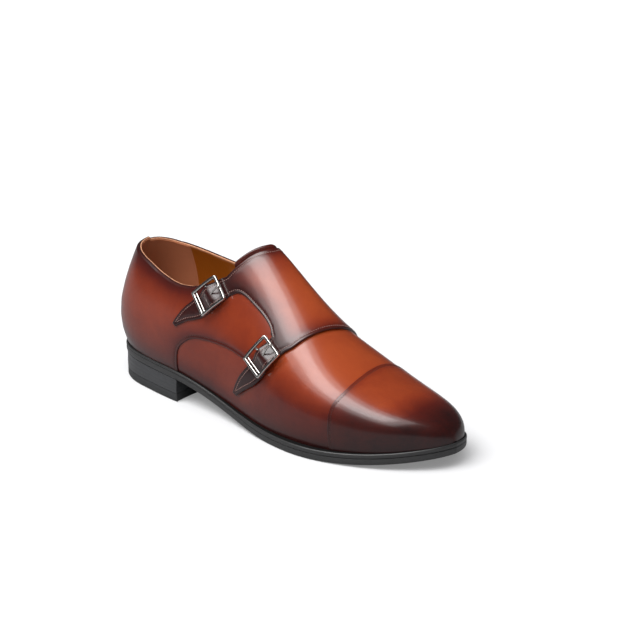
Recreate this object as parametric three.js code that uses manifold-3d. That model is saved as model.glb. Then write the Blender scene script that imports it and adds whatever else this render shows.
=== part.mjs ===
// Right double monk strap shoe, standing on its sole. Millimetres, toe towards +X, inner side +Y, up +Z.
import * as THREE from 'three';
import { mergeVertices } from 'three/addons/utils/BufferGeometryUtils.js';
import Module from 'manifold-3d';

const wasm = await Module();
wasm.setup();

// ---- Driving dimensions --------------------------------------------------------------------------

const WALL = 2.0;              // leather wall of the upper, with its lining
const GAP = 0.3;               // clearance between pieces that lie on each other
const FLAP_TOP = 2.4;          // outer face of the strap flap above the upper
const TONGUE_THICK = 1.8;
const INSOLE_THICK = 2.5;

const SEAT_HEIGHT = 17.3;      // underside of the sole over the heel
const SEAT_RISE = 0.7;         // extra height at the very back
const SEAT_FRONT = 65;         // where the arch starts to fall
const TREAD_BACK = 185;        // flat tread of the forefoot
const TREAD_FRONT = 215;
const TOE_TIP = 300;
const TOE_SPRING = 10;
const WAIST_EDGE = 6.6;        // thickness of the sole edge at the waist
const FORE_EDGE = 8.0;         // thickness of the sole edge at the forefoot
const OUTSOLE_EDGE = 4.7;
const WELT_WIDTH = 13;
const LIFT_HEIGHT = 6;
const HEEL_BREAST = 78;
const SKIRT = 8;               // how far the last's form reaches below the feather edge

const U_STEPS = 48;            // steps along the last
const V_STEPS = 9;             // steps from the feather edge to the ridge
const SOLE_STEPS = 34;
const BAND_STEP = 6;

// Sole outline: distance from the heel back, mid line, half widths to the outer and inner side.
const SOLE_COLUMNS = ['x', 'mid', 'outer', 'inner'];
const SOLE_ROWS = [
  [0, 1.5, 0, 0],
  [2.5, 1.3, 12.3, 12.3],
  [10.5, 0.8, 22.6, 22.3],
  [26, 0, 30, 29.5],
  [46, -1.2, 32.8, 31.6],
  [72, -2.8, 34.5, 31],
  [100, -3.2, 34.8, 28.5],
  [130, -2.6, 37.5, 29.5],
  [160, -0.6, 44.5, 36],
  [188, 1.6, 51, 44.5],
  [212, 3.4, 53, 48.5],
  [235, 5.2, 49.5, 46.5],
  [256, 7, 42.5, 41.5],
  [274, 8.6, 33, 34],
  [288, 9.7, 21.5, 24],
  [296.5, 10.3, 10.5, 12],
  [TOE_TIP, 10.4, 0, 0],
];

// Sections of the last: feather half widths, ridge height and shift, side bulge, and three shape factors.
const LAST_COLUMNS = [
  'x', 'mid', 'outer', 'inner', 'ridge', 'ridgeShift', 'bulgeOuter', 'bulgeInner', 'wall', 'shoulder', 'peak',
];
const LAST_ROWS = [
  [2.5, 1.5, 0, 0, 126, 0.5, 0.58, 0.56, 0.38, 0.56, 0.86],
  [4.7, 1.3, 11.2, 11.2, 126, 0.5, 0.58, 0.56, 0.38, 0.56, 0.86],
  [12, 0.8, 20.6, 20.3, 126, 0.5, 0.55, 0.52, 0.38, 0.56, 0.86],
  [26, 0.1, 27.7, 27.2, 126, 0.6, 0.46, 0.44, 0.38, 0.57, 0.86],
  [46, -1.1, 30.9, 29.5, 127, 0.8, 0.36, 0.36, 0.38, 0.58, 0.86],
  [74, -2.7, 32.6, 29.2, 129, 1.2, 0.3, 0.34, 0.38, 0.58, 0.87],
  [102, -3.1, 33, 26.6, 129, 2, 0.28, 0.42, 0.38, 0.57, 0.9],
  [130, -2.4, 35, 27, 121.5, 3, 0.22, 0.4, 0.38, 0.55, 0.95],
  [158, -0.6, 41, 32, 100.5, 4, 0.14, 0.24, 0.4, 0.55, 0.98],
  [186, 1.4, 46.6, 39.8, 80, 3.5, 0.1, 0.14, 0.47, 0.61, 0.98],
  [212, 3.4, 48.4, 43.8, 64.6, 3.5, 0.08, 0.08, 0.56, 0.76, 0.98],
  [235, 5.2, 45.4, 42.2, 53.4, 4, 0.07, 0.06, 0.62, 0.84, 0.98],
  [256, 7, 39, 38, 45.2, 5.5, 0.08, 0.08, 0.66, 0.86, 1],
  [273, 8.5, 30.6, 31.4, 39.6, 7.2, 0.1, 0.1, 0.7, 0.86, 1],
  [286, 9.6, 20.4, 22.2, 34.4, 9, 0.12, 0.12, 0.72, 0.84, 1],
  [294.4, 10.1, 10.8, 12, 27.8, 10.2, 0.12, 0.12, 0.68, 0.76, 1],
  [298, 10.3, 0, 0, 17.6, 10.3, 0, 0, 0.6, 0.62, 1],
];

// Back curve of the heel: height above the feather edge, shift forwards.
const HEEL_REACH = 34;
const HEEL_CURVE = [
  [0, 0], [10, -4], [20, -5.2], [32, -4.2], [44, -1.2], [56, 2.4], [66, 5.6], [76, 9], [100, 18],
];

// Topline of the collar seen from the side, [x, z], from behind the heel to the throat.
const TOPLINE_OUTER = [
  [-12, 100], [2, 99.5], [10, 98.3], [20, 96], [35, 92.5], [50, 88.5], [65, 85.8], [75, 85.2], [86, 86.5],
  [96, 89.5], [104, 93], [113, 98], [121, 103.5], [128, 110], [133, 116], [138, 122], [141, 130],
];
const TOPLINE_INNER = [
  [-12, 100], [2, 99.5], [10, 96.5], [24, 93], [49, 91.8], [79, 89.8], [92, 91.5], [104, 95], [115, 100.5],
  [125, 107.5], [133, 113.5], [139, 119], [141, 125], [142, 130],
];
const TOPLINE_SPLIT = 3;       // y where the outer topline meets the inner one

// Strap flap seen square to the instep: [x, height along the tilted plane].
const FLAP_TILT = THREE.MathUtils.degToRad(50);
const FLAP_SPLIT = 8;          // y where the tilted outline hands over to the side outline
const FLAP_OUTLINE = [
  [109.9, 57], [115.5, 60.7], [119.1, 66.6], [123.2, 72.8], [128.9, 81.6], [135.4, 90], [139.9, 94.5],
  [141, 130], [199, 130], [198.5, 66], [197.3, 63.4], [195.9, 58.2], [193.4, 52.2], [190.4, 45.2],
  [186.9, 37.9], [183.3, 31.2],
  [177.7, 24.5], [166.5, 6.1], [154.5, -2.8], [142.5, -8.9], [138.5, -7.5], [145, 3.5], [153.5, 13.3],
  [164.7, 31.7], [164.7, 34.7], [163.3, 37.7], [158.3, 42.3], [151.3, 46.3], [142.8, 50], [135.2, 52.8],
  [128.6, 52.9], [124.1, 50.3],
  [120.9, 47.3], [105.7, 32.1], [91, 25.5], [78.6, 19.3], [75.5, 20.9], [84.1, 32], [94.7, 41.7],
];
const FLAP_INNER_SIDE = [
  [60, -20], [60, 140], [199, 140], [198.5, 80], [194, 68], [188, 56], [181, 42], [174, 28], [168, 12],
  [166, -20],
];
const TONGUE_OUTLINE = [
  [126, -12], [133, -19], [150, -25], [185, -29], [205, -18], [213, 8], [205, 28], [185, 33], [150, 27],
  [133, 22], [126, 12], [124, 0],
];

// Buckles: centre, direction of the bars, direction of the strap towards its tip.
const BUCKLES = [
  { name: 'upper', at: [107.8, -33.6, 86.1], bars: [0.724, -0.204, -0.659], strap: [-0.688, -0.279, -0.67] },
  { name: 'lower', at: [165.7, -40.2, 58.1], bars: [0.856, -0.132, -0.5], strap: [-0.51, -0.373, -0.775] },
];
const FRAME_WIDTH = 20;        // along the bars
const FRAME_LENGTH = 24;       // along the strap
const FRAME_BAR = 1.9;
const FRAME_THICK = 2;
const FRAME_CORNER = 1.6;
const BAR_RADIUS = 0.9;
const BAR_DROP = 1.6;          // centre bar below the middle of the frame
const STRAP_WIDTH = 15;
const BULGE_RADIUS = 3.2;      // strap where it rises over the centre bar
const PRONG_RADIUS = 0.7;
const PRONG_ROOT = [0, -1.5, -0.9];
const PRONG_TIP = [0, -11.3, 2.5];
const HOLE_ROOT = [0, -0.9, -1.2];

// ---- Curves --------------------------------------------------------------------------------------

// Natural cubic spline through rows of numbers, one unit of the parameter for each row.
function rowSpline(rows, columns) {
  const last = rows.length - 1;
  const bends = columns.map((_, c) => {
    const slope = new Array(last + 1).fill(0);
    const carry = new Array(last + 1).fill(0);
    for (let i = 1; i < last; i += 1) {
      const pivot = 4 - slope[i - 1];
      const force = 6 * (rows[i - 1][c] - 2 * rows[i][c] + rows[i + 1][c]);
      slope[i] = 1 / pivot;
      carry[i] = (force - carry[i - 1]) / pivot;
    }
    const bend = new Array(last + 1).fill(0);
    for (let i = last - 1; i > 0; i -= 1) {
      bend[i] = carry[i] - slope[i] * bend[i + 1];
    }
    return bend;
  });
  return (u) => {
    const i = Math.min(Math.floor(u), last - 1);
    const t = u - i;
    const s = 1 - t;
    const row = {};
    columns.forEach((name, c) => {
      const straight = rows[i][c] * s + rows[i + 1][c] * t;
      row[name] = straight + ((s ** 3 - s) * bends[c][i] + (t ** 3 - t) * bends[c][i + 1]) / 6;
    });
    return row;
  };
}

function lookUp(table, x) {
  if (x <= table[0][0]) return table[0][1];
  for (let i = 1; i < table.length; i += 1) {
    if (x <= table[i][0]) {
      const t = (x - table[i - 1][0]) / (table[i][0] - table[i - 1][0]);
      return table[i - 1][1] * (1 - t) + table[i][1] * t;
    }
  }
  return table[table.length - 1][1];
}

const smooth = (t) => {
  const c = Math.min(Math.max(t, 0), 1);
  return c * c * (3 - 2 * c);
};

// Height of the sole's underside: heel seat, arch, flat tread, toe spring.
function soleUnder(x) {
  if (x > TREAD_FRONT) return TOE_SPRING * ((x - TREAD_FRONT) / (TOE_TIP - TREAD_FRONT)) ** 2;
  if (x > TREAD_BACK) return 0;
  const fall = Math.min((TREAD_BACK - x) / (TREAD_BACK - SEAT_FRONT), 1);
  return SEAT_HEIGHT * smooth(fall ** 1.1) + SEAT_RISE * smooth((SEAT_FRONT - x) / SEAT_FRONT);
}

function soleEdge(x) {
  return WAIST_EDGE + (FORE_EDGE - WAIST_EDGE) * smooth((x - 120) / 60);
}

const soleTop = (x) => soleUnder(x) + soleEdge(x);

// ---- The last ------------------------------------------------------------------------------------

const lastSection = rowSpline(LAST_ROWS, LAST_COLUMNS);

// The inner shoulder of the forepart falls away sooner than the outer one.
const INNER_EASE = 0.34;

// Point of the last's surface. side is -1 for the outer side and 1 for the inner side.
function lastPoint(side, u, v) {
  const row = lastSection(u);
  const base = soleTop(row.x);
  const half = side < 0 ? row.outer : row.inner;
  const bulge = side < 0 ? row.bulgeOuter : row.bulgeInner;
  const ease = side < 0 ? 0 : INNER_EASE * smooth((row.x - 150) / 50);
  const shoulder = row.shoulder * (1 - ease);
  const q = 1 - v;
  const across = q ** 3 + 3 * (1 + bulge) * q * q * v + 3 * shoulder * q * v * v;
  const up = 3 * row.wall * q * q * v + 3 * row.peak * q * v * v + v ** 3;
  const lean = v ** 1.5;
  const height = Math.max(row.ridge - base, 0) * up;
  const back = lookUp(HEEL_CURVE, height) * smooth((HEEL_REACH - row.x) / HEEL_REACH);
  const y = row.mid * (1 - lean) + row.ridgeShift * lean + side * half * across;
  return [row.x + back, y, base + height];
}

function closedGeometry(positions, indices) {
  const loose = new THREE.BufferGeometry();
  loose.setAttribute('position', new THREE.Float32BufferAttribute(positions, 3));
  loose.setIndex(indices);
  const merged = mergeVertices(loose, 1e-3);
  const corners = merged.index.array;
  const kept = [];
  for (let i = 0; i < corners.length; i += 3) {
    const [a, b, c] = [corners[i], corners[i + 1], corners[i + 2]];
    if (a !== b && b !== c && c !== a) kept.push(a, b, c);
  }
  merged.setIndex(kept);
  return merged;
}

// Closed form of the last, grown or shrunk along its own normals.
const LAST_GEOMETRY = (() => {
  const positions = [];
  const indices = [];
  const ring = 2 * V_STEPS + 3;
  for (let i = 0; i <= U_STEPS; i += 1) {
    const u = (i / U_STEPS) * (LAST_ROWS.length - 1);
    const section = [];
    for (let j = 0; j <= V_STEPS; j += 1) section.push(lastPoint(-1, u, j / V_STEPS));
    for (let j = V_STEPS - 1; j >= 0; j -= 1) section.push(lastPoint(1, u, j / V_STEPS));
    const first = section[0];
    const end = section[section.length - 1];
    section.unshift([first[0], first[1], first[2] - SKIRT]);
    section.push([end[0], end[1], end[2] - SKIRT]);
    section.forEach((p) => positions.push(...p));
  }
  for (let i = 0; i < U_STEPS; i += 1) {
    for (let j = 0; j < ring; j += 1) {
      const k = (j + 1) % ring;
      const a = i * ring + j;
      const b = i * ring + k;
      const c = (i + 1) * ring + k;
      const d = (i + 1) * ring + j;
      indices.push(a, d, b, b, d, c);
    }
  }
  const geometry = closedGeometry(positions, indices);
  geometry.computeVertexNormals();
  return geometry;
})();

function lastForm(offset) {
  const geometry = LAST_GEOMETRY.clone();
  const at = geometry.attributes.position;
  const normal = geometry.attributes.normal;
  for (let i = 0; i < at.count; i += 1) {
    at.setXYZ(i, at.getX(i) + offset * normal.getX(i), at.getY(i) + offset * normal.getY(i),
      at.getZ(i) + offset * normal.getZ(i));
  }
  return solid(geometry);
}

// ---- Solids --------------------------------------------------------------------------------------

function solid(geometry) {
  const plain = geometry.clone();
  plain.deleteAttribute('normal');
  plain.deleteAttribute('uv');
  const merged = mergeVertices(plain, 1e-4);
  const mesh = new wasm.Mesh({
    numProp: 3,
    vertProperties: new Float32Array(merged.attributes.position.array),
    triVerts: new Uint32Array(merged.index.array),
  });
  mesh.merge();
  return new wasm.Manifold(mesh);
}

function bodyGeometry(form) {
  const mesh = form.getMesh();
  const geometry = new THREE.BufferGeometry();
  geometry.setAttribute('position', new THREE.Float32BufferAttribute(mesh.vertProperties, 3));
  geometry.setIndex(Array.from(mesh.triVerts));
  geometry.computeVertexNormals();
  return geometry;
}

const shapeOf = (points) => new THREE.Shape(points.map((p) => new THREE.Vector2(p[0], p[1])));

function extruded(points, depth) {
  return new THREE.ExtrudeGeometry(shapeOf(points), { depth, bevelEnabled: false, curveSegments: 4 });
}

// Prism with a side-view outline, [x, z], between two y values.
function sidePrism(points, yLow, yHigh) {
  return solid(extruded(points, yHigh - yLow).rotateX(Math.PI / 2).translate(0, yHigh, 0));
}

// Prism with a plan outline, [x, y], between two heights.
function planPrism(points, zLow, zHigh) {
  return solid(extruded(points, zHigh - zLow).translate(0, 0, zLow));
}

// Layer between two heights that follow the sole's curve.
function band(low, high) {
  const xs = [];
  for (let x = -18; x <= 318; x += BAND_STEP) xs.push(x);
  const under = xs.map((x) => [x, low(x)]);
  const over = xs.map((x) => [x, high(x)]).reverse();
  return sidePrism([...under, ...over], -90, 90);
}

const soleSection = rowSpline(SOLE_ROWS, SOLE_COLUMNS);

// Plan outline of the sole, moved inwards by inset.
function soleOutline(inset) {
  const points = [];
  for (let i = 0; i <= SOLE_STEPS; i += 1) {
    const row = soleSection((i / SOLE_STEPS) * (SOLE_ROWS.length - 1));
    points.push([row.x, row.mid - row.outer]);
  }
  for (let i = SOLE_STEPS - 1; i > 0; i -= 1) {
    const row = soleSection((i / SOLE_STEPS) * (SOLE_ROWS.length - 1));
    points.push([row.x, row.mid + row.inner]);
  }
  return points.map((p, i) => {
    const before = points[(i + points.length - 1) % points.length];
    const after = points[(i + 1) % points.length];
    const along = new THREE.Vector2(after[0] - before[0], after[1] - before[1]).normalize();
    return [p[0] - along.y * inset, p[1] + along.x * inset];
  });
}

const solePlate = (inset) => planPrism(soleOutline(inset), -10, 60);

// ---- Sole ----------------------------------------------------------------------------------------

const outsoleTop = (x) => soleUnder(x) + OUTSOLE_EDGE;
const outsole = solePlate(0.5).intersect(band(soleUnder, outsoleTop))
  .add(solePlate(WELT_WIDTH + GAP).intersect(band((x) => outsoleTop(x) - 1, soleTop)));
const welt = solePlate(0).intersect(band((x) => outsoleTop(x) + GAP, soleTop))
  .subtract(solePlate(WELT_WIDTH));

// The heel's outline ends at a slightly hollow breast.
function heelOutline(inset) {
  const [heelBack, ...round] = soleOutline(inset).filter((p) => p[0] < HEEL_BREAST - 2);
  const outer = round.filter((p) => p[1] < 0);
  const inner = round.filter((p) => p[1] > 0);
  const breast = [[HEEL_BREAST, outer[outer.length - 1][1]], [HEEL_BREAST - 2.2, -14], [HEEL_BREAST - 3, -2],
    [HEEL_BREAST - 2.2, 11], [HEEL_BREAST, inner[0][1]]];
  return [heelBack, ...outer, ...breast, ...inner];
}

const heelStack = planPrism(heelOutline(1), LIFT_HEIGHT + GAP, 40)
  .intersect(band(() => -30, (x) => soleUnder(x) - GAP));
const topLift = planPrism(heelOutline(1.4), 0, LIFT_HEIGHT);

// ---- Upper, insole and tongue --------------------------------------------------------------------

const outerForm = lastForm(0);
const innerForm = lastForm(-WALL);
const CEILING = 170;
const collarInner = sidePrism([...TOPLINE_INNER, [142, CEILING], [-12, CEILING]], TOPLINE_SPLIT, 90);
const collarOuter = sidePrism([...TOPLINE_OUTER, [141, CEILING], [-12, CEILING]], -90, TOPLINE_SPLIT + 0.05);
const belowFeather = band(() => -30, (x) => soleTop(x) + GAP);
const upper = outerForm.subtract(innerForm).subtract(collarInner).subtract(collarOuter)
  .subtract(belowFeather);

const insoleLayer = band((x) => soleTop(x) + GAP, (x) => soleTop(x) + GAP + INSOLE_THICK);
const insole = lastForm(-WALL - GAP).intersect(insoleLayer);

const tongueOuter = -WALL - GAP;
const tongue = lastForm(tongueOuter).subtract(lastForm(tongueOuter - TONGUE_THICK))
  .intersect(planPrism(TONGUE_OUTLINE, 45, CEILING));

// ---- Buckles -------------------------------------------------------------------------------------

function buckleMatrix(buckle) {
  const bars = new THREE.Vector3(...buckle.bars).normalize();
  const strap = new THREE.Vector3(...buckle.strap);
  strap.addScaledVector(bars, -strap.dot(bars)).normalize();
  const out = new THREE.Vector3().crossVectors(bars, strap).negate();
  // The bars run along -X of the buckle's own frame, so that the frame stays right-handed.
  return new THREE.Matrix4().makeBasis(bars.clone().negate(), strap, out).setPosition(...buckle.at);
}

function roundedOutline(width, length, corner) {
  const points = [];
  const turns = [[1, 1, 0], [-1, 1, 1], [-1, -1, 2], [1, -1, 3]];
  for (const [sx, sy, quarter] of turns) {
    for (let k = 0; k <= 3; k += 1) {
      const angle = (quarter + k / 3) * (Math.PI / 2);
      points.push([sx * (width / 2 - corner) + corner * Math.cos(angle),
        sy * (length / 2 - corner) + corner * Math.sin(angle)]);
    }
  }
  return points;
}

function rod(from, to, radiusFrom, radiusTo, sides) {
  const a = new THREE.Vector3(...from);
  const b = new THREE.Vector3(...to);
  const way = b.clone().sub(a);
  const geometry = new THREE.CylinderGeometry(radiusTo, radiusFrom, way.length(), sides);
  const turn = new THREE.Quaternion().setFromUnitVectors(new THREE.Vector3(0, 1, 0), way.clone().normalize());
  geometry.applyQuaternion(turn);
  const middle = a.add(b).multiplyScalar(0.5);
  return geometry.translate(middle.x, middle.y, middle.z);
}

function buckleFrame() {
  const half = FRAME_THICK / 2;
  const side = FRAME_WIDTH / 2 - FRAME_BAR;
  const ring = planPrism(roundedOutline(FRAME_WIDTH, FRAME_LENGTH, FRAME_CORNER), -half, half)
    .subtract(planPrism(roundedOutline(FRAME_WIDTH - 2 * FRAME_BAR, FRAME_LENGTH - 2 * FRAME_BAR, 0.6),
      -4, 4));
  const leg = (sign) => planPrism([[sign * side, -3], [sign * side, 3], [sign * (side + FRAME_BAR), 3],
    [sign * (side + FRAME_BAR), -3]], -BAR_DROP - BAR_RADIUS - 0.1, -half + 0.2);
  const bar = solid(rod([-side - 1, 0, -BAR_DROP], [side + 1, 0, -BAR_DROP], BAR_RADIUS, BAR_RADIUS, 12));
  return ring.add(leg(1)).add(leg(-1)).add(bar);
}

// ---- Strap flap ----------------------------------------------------------------------------------

const tiltedPrism = solid(extruded(FLAP_OUTLINE, 140).translate(0, 0, 20).rotateX(FLAP_TILT));
const outerHalf = planPrism([[0, -90], [0, FLAP_SPLIT], [260, FLAP_SPLIT], [260, -90]], -20, CEILING);
const flapOuter = tiltedPrism.intersect(outerHalf);
const flapInner = sidePrism(FLAP_INNER_SIDE, FLAP_SPLIT - 0.05, 90).subtract(collarInner)
  .subtract(belowFeather);
let flap = lastForm(FLAP_TOP).intersect(flapOuter.add(flapInner));
for (const buckle of BUCKLES) {
  const place = buckleMatrix(buckle);
  const halfStrap = STRAP_WIDTH / 2;
  const bulge = rod([-halfStrap, 0, -BAR_DROP], [halfStrap, 0, -BAR_DROP], BULGE_RADIUS, BULGE_RADIUS, 20);
  flap = flap.add(solid(bulge.applyMatrix4(place)));
}
flap = flap.subtract(lastForm(GAP));
for (const buckle of BUCKLES) {
  const place = buckleMatrix(buckle);
  const tunnel = rod([-12, 0, -BAR_DROP], [12, 0, -BAR_DROP], BAR_RADIUS + 0.4, BAR_RADIUS + 0.4, 12);
  const hole = rod(HOLE_ROOT, PRONG_TIP, PRONG_RADIUS + 0.5, PRONG_RADIUS + 0.5, 10);
  flap = flap.subtract(solid(tunnel.applyMatrix4(place))).subtract(solid(hole.applyMatrix4(place)));
}

// ---- Assembly ------------------------------------------------------------------------------------

const finish = (color, roughness, metalness) => (
  new THREE.MeshStandardMaterial({ color, roughness, metalness }));
const shoe = new THREE.Group();

function addPiece(name, geometry, material) {
  const mesh = new THREE.Mesh(geometry, material);
  mesh.name = name;
  shoe.add(mesh);
  return mesh;
}

addPiece('top_lift', bodyGeometry(topLift), finish(0x101012, 0.5, 0));
addPiece('heel_stack', bodyGeometry(heelStack), finish(0x141416, 0.35, 0));
addPiece('outsole', bodyGeometry(outsole), finish(0x141416, 0.4, 0));
addPiece('welt', bodyGeometry(welt), finish(0x17171a, 0.35, 0));
addPiece('insole', bodyGeometry(insole), finish(0xb98452, 0.7, 0));
addPiece('upper', bodyGeometry(upper), finish(0x7a2c14, 0.25, 0));
addPiece('tongue', bodyGeometry(tongue), finish(0x5a2018, 0.3, 0));
addPiece('strap_flap', bodyGeometry(flap), finish(0x8a3416, 0.25, 0));
for (const buckle of BUCKLES) {
  const place = buckleMatrix(buckle);
  const frame = addPiece(`${buckle.name}_buckle`, bodyGeometry(buckleFrame()), finish(0xc9cace, 0.15, 1));
  frame.applyMatrix4(place);
  const prongRod = rod(PRONG_ROOT, PRONG_TIP, PRONG_RADIUS, PRONG_RADIUS * 0.8, 10);
  const prong = addPiece(`${buckle.name}_prong`, prongRod, finish(0xc9cace, 0.15, 1));
  prong.applyMatrix4(place);
}

// The origin is the middle of the shoe's box, on the floor.
shoe.updateMatrixWorld(true);
const box = new THREE.Box3().setFromObject(shoe, true);
const middle = box.getCenter(new THREE.Vector3());
shoe.position.set(-middle.x, -middle.y, -box.min.z);
shoe.updateMatrixWorld(true);

export default shoe;
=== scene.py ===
"""A right double monk strap shoe in hand-burnished leather, standing on its sole."""

import math

import bpy
import numpy as np
from mathutils import Matrix, Vector
from mathutils.geometry import delaunay_2d_cdt
from mathutils.kdtree import KDTree


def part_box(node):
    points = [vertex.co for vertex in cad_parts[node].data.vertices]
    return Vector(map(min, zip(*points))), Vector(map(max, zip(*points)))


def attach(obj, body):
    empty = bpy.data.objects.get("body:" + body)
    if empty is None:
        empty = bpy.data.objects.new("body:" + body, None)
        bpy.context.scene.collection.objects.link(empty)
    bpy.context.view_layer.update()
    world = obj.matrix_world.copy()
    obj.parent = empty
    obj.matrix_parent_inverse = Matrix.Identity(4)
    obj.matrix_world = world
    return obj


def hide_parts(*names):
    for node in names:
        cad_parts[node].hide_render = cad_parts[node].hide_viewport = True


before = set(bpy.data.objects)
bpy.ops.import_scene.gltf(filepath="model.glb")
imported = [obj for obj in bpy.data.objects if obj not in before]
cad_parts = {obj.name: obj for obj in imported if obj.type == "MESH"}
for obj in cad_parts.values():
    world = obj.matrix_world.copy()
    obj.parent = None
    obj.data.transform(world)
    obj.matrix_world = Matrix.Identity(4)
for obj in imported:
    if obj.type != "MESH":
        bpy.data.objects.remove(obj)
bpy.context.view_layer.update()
MM = 0.001

# --- The last -------------------------------------------------------------------------------------
# The last is the solid foot shape that a maker pulls the leather over, and it leaves the shoe again.
# Every leather piece below is laid on it, at its own height, along its length and round its girth.

TOE_TIP = 300.0
TREAD_BACK, TREAD_FRONT, TOE_SPRING = 185.0, 215.0, 10.0
SEAT_FRONT, SEAT_HEIGHT, SEAT_RISE = 65.0, 17.3, 0.7
WAIST_EDGE, FORE_EDGE = 6.6, 8.0
HEEL_REACH = 34.0

# Sole outline: distance from the heel back, mid line, half widths to the outer and inner side.
SOLE_ROWS = np.array([
    (0, 1.5, 0, 0), (2.5, 1.3, 12.3, 12.3), (10.5, 0.8, 22.6, 22.3), (26, 0, 30, 29.5),
    (46, -1.2, 32.8, 31.6), (72, -2.8, 34.5, 31), (100, -3.2, 34.8, 28.5), (130, -2.6, 37.5, 29.5),
    (160, -0.6, 44.5, 36), (188, 1.6, 51, 44.5), (212, 3.4, 53, 48.5), (235, 5.2, 49.5, 46.5),
    (256, 7, 42.5, 41.5), (274, 8.6, 33, 34), (288, 9.7, 21.5, 24), (296.5, 10.3, 10.5, 12),
    (TOE_TIP, 10.4, 0, 0),
])

# Sections: distance, mid line, outer and inner half width, ridge height, ridge shift, outer and inner bulge,
# and the handles of the section's curve: height of the wall, width of the shoulder, height of the peak.
LAST_ROWS = np.array([
    (2.5, 1.5, 0, 0, 126, 0.5, 0.58, 0.56, 0.38, 0.56, 0.86),
    (4.7, 1.3, 11.2, 11.2, 126, 0.5, 0.58, 0.56, 0.38, 0.56, 0.86),
    (12, 0.8, 20.6, 20.3, 126, 0.5, 0.55, 0.52, 0.38, 0.56, 0.86),
    (26, 0.1, 27.7, 27.2, 126, 0.6, 0.46, 0.44, 0.38, 0.57, 0.86),
    (46, -1.1, 30.9, 29.5, 127, 0.8, 0.36, 0.36, 0.38, 0.58, 0.86),
    (74, -2.7, 32.6, 29.2, 129, 1.2, 0.30, 0.34, 0.38, 0.58, 0.87),
    (102, -3.1, 33, 26.6, 128.5, 2, 0.28, 0.42, 0.38, 0.57, 0.93),
    (130, -2.4, 35, 27, 120.8, 3, 0.22, 0.40, 0.38, 0.55, 0.98),
    (158, -0.6, 41, 32, 100.2, 4, 0.14, 0.24, 0.40, 0.55, 0.995),
    (186, 1.4, 46.6, 39.8, 80.0, 3.5, 0.10, 0.14, 0.47, 0.61, 1.0),
    (212, 3.4, 48.4, 43.8, 64.6, 3.5, 0.08, 0.08, 0.56, 0.76, 1.0),
    (235, 5.2, 45.4, 42.2, 53.4, 4, 0.07, 0.06, 0.62, 0.84, 1.0),
    (256, 7, 39, 38, 45.2, 5.5, 0.08, 0.08, 0.66, 0.86, 1.0),
    (273, 8.5, 30.6, 31.4, 39.6, 7.2, 0.10, 0.10, 0.70, 0.86, 1.0),
    (286, 9.6, 20.4, 22.2, 34.4, 9, 0.12, 0.12, 0.72, 0.84, 1.0),
    (294.4, 10.1, 10.8, 12, 27.8, 10.2, 0.12, 0.12, 0.68, 0.76, 1.0),
    (298, 10.3, 0, 0, 17.6, 10.3, 0, 0, 0.60, 0.62, 1.0),
])

# The inner shoulder of the forepart falls away sooner than the outer one.
INNER_EASE, EASE_START, EASE_REACH = 0.34, 150.0, 50.0

# Back curve of the heel: height above the feather edge, shift forwards.
HEEL_CURVE = np.array([
    (0, 0), (10, -4), (20, -5.2), (32, -4.2), (44, -1.2), (56, 2.4), (66, 5.6), (76, 9), (100, 18),
])


def smooth(t):
    t = np.clip(t, 0, 1)
    return t * t * (3 - 2 * t)


def unit(vectors):
    """The same vectors at length one."""
    return vectors / (np.linalg.norm(vectors, axis=-1, keepdims=True) + 1e-12)


def run_along(points):
    """Distance along a line from its first point to each of its points."""
    return np.concatenate([[0], np.cumsum(np.linalg.norm(np.diff(points, axis=0), axis=1))])


def row_spline(rows):
    """Natural cubic spline through the rows, one unit of the parameter for each row."""
    count = len(rows)
    system = np.eye(count)
    force = np.zeros_like(rows)
    for i in range(1, count - 1):
        system[i, i - 1:i + 2] = 1, 4, 1
        force[i] = 6 * (rows[i - 1] - 2 * rows[i] + rows[i + 1])
    bend = np.linalg.solve(system, force)

    def at(u):
        i = np.clip(np.floor(u).astype(int), 0, count - 2)
        t = (u - i)[..., None]
        s = 1 - t
        return rows[i] * s + rows[i + 1] * t + ((s**3 - s) * bend[i] + (t**3 - t) * bend[i + 1]) / 6
    return at


def sole_under(x):
    """Height of the sole's underside: heel seat, arch, flat tread and toe spring."""
    spring = TOE_SPRING * (np.clip(x - TREAD_FRONT, 0, None) / (TOE_TIP - TREAD_FRONT)) ** 2
    fall = np.clip((TREAD_BACK - x) / (TREAD_BACK - SEAT_FRONT), 0, 1)
    arch = SEAT_HEIGHT * smooth(fall**1.1) + SEAT_RISE * smooth((SEAT_FRONT - x) / SEAT_FRONT)
    return spring + arch


def sole_top(x):
    return sole_under(x) + WAIST_EDGE + (FORE_EDGE - WAIST_EDGE) * smooth((x - 120) / 60)


last_row = row_spline(LAST_ROWS)
sole_row = row_spline(SOLE_ROWS)
LAST_END = len(LAST_ROWS) - 1


def last_point(side, u, v):
    """Point of the last in mm; side is -1 outer, 1 inner; v runs from the feather edge to the ridge."""
    x, mid, outer, inner, ridge, shift, b_out, b_in, wall, shoulder, peak = np.moveaxis(last_row(u), -1, 0)
    base = sole_top(x)
    half = np.where(side < 0, outer, inner)
    bulge = np.where(side < 0, b_out, b_in)
    shoulder = shoulder * (1 - np.where(side < 0, 0, INNER_EASE * smooth((x - EASE_START) / EASE_REACH)))
    q = 1 - v
    across = q**3 + 3 * (1 + bulge) * q * q * v + 3 * shoulder * q * v * v
    up = 3 * wall * q * q * v + 3 * peak * q * v * v + v**3
    height = np.maximum(ridge - base, 0) * up
    back = np.interp(height, HEEL_CURVE[:, 0], HEEL_CURVE[:, 1]) * smooth((HEEL_REACH - x) / HEEL_REACH)
    y = mid * (1 - v**1.5) + shift * v**1.5 + side * half * across
    return np.stack([x + back, y, base + height], -1)


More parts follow.
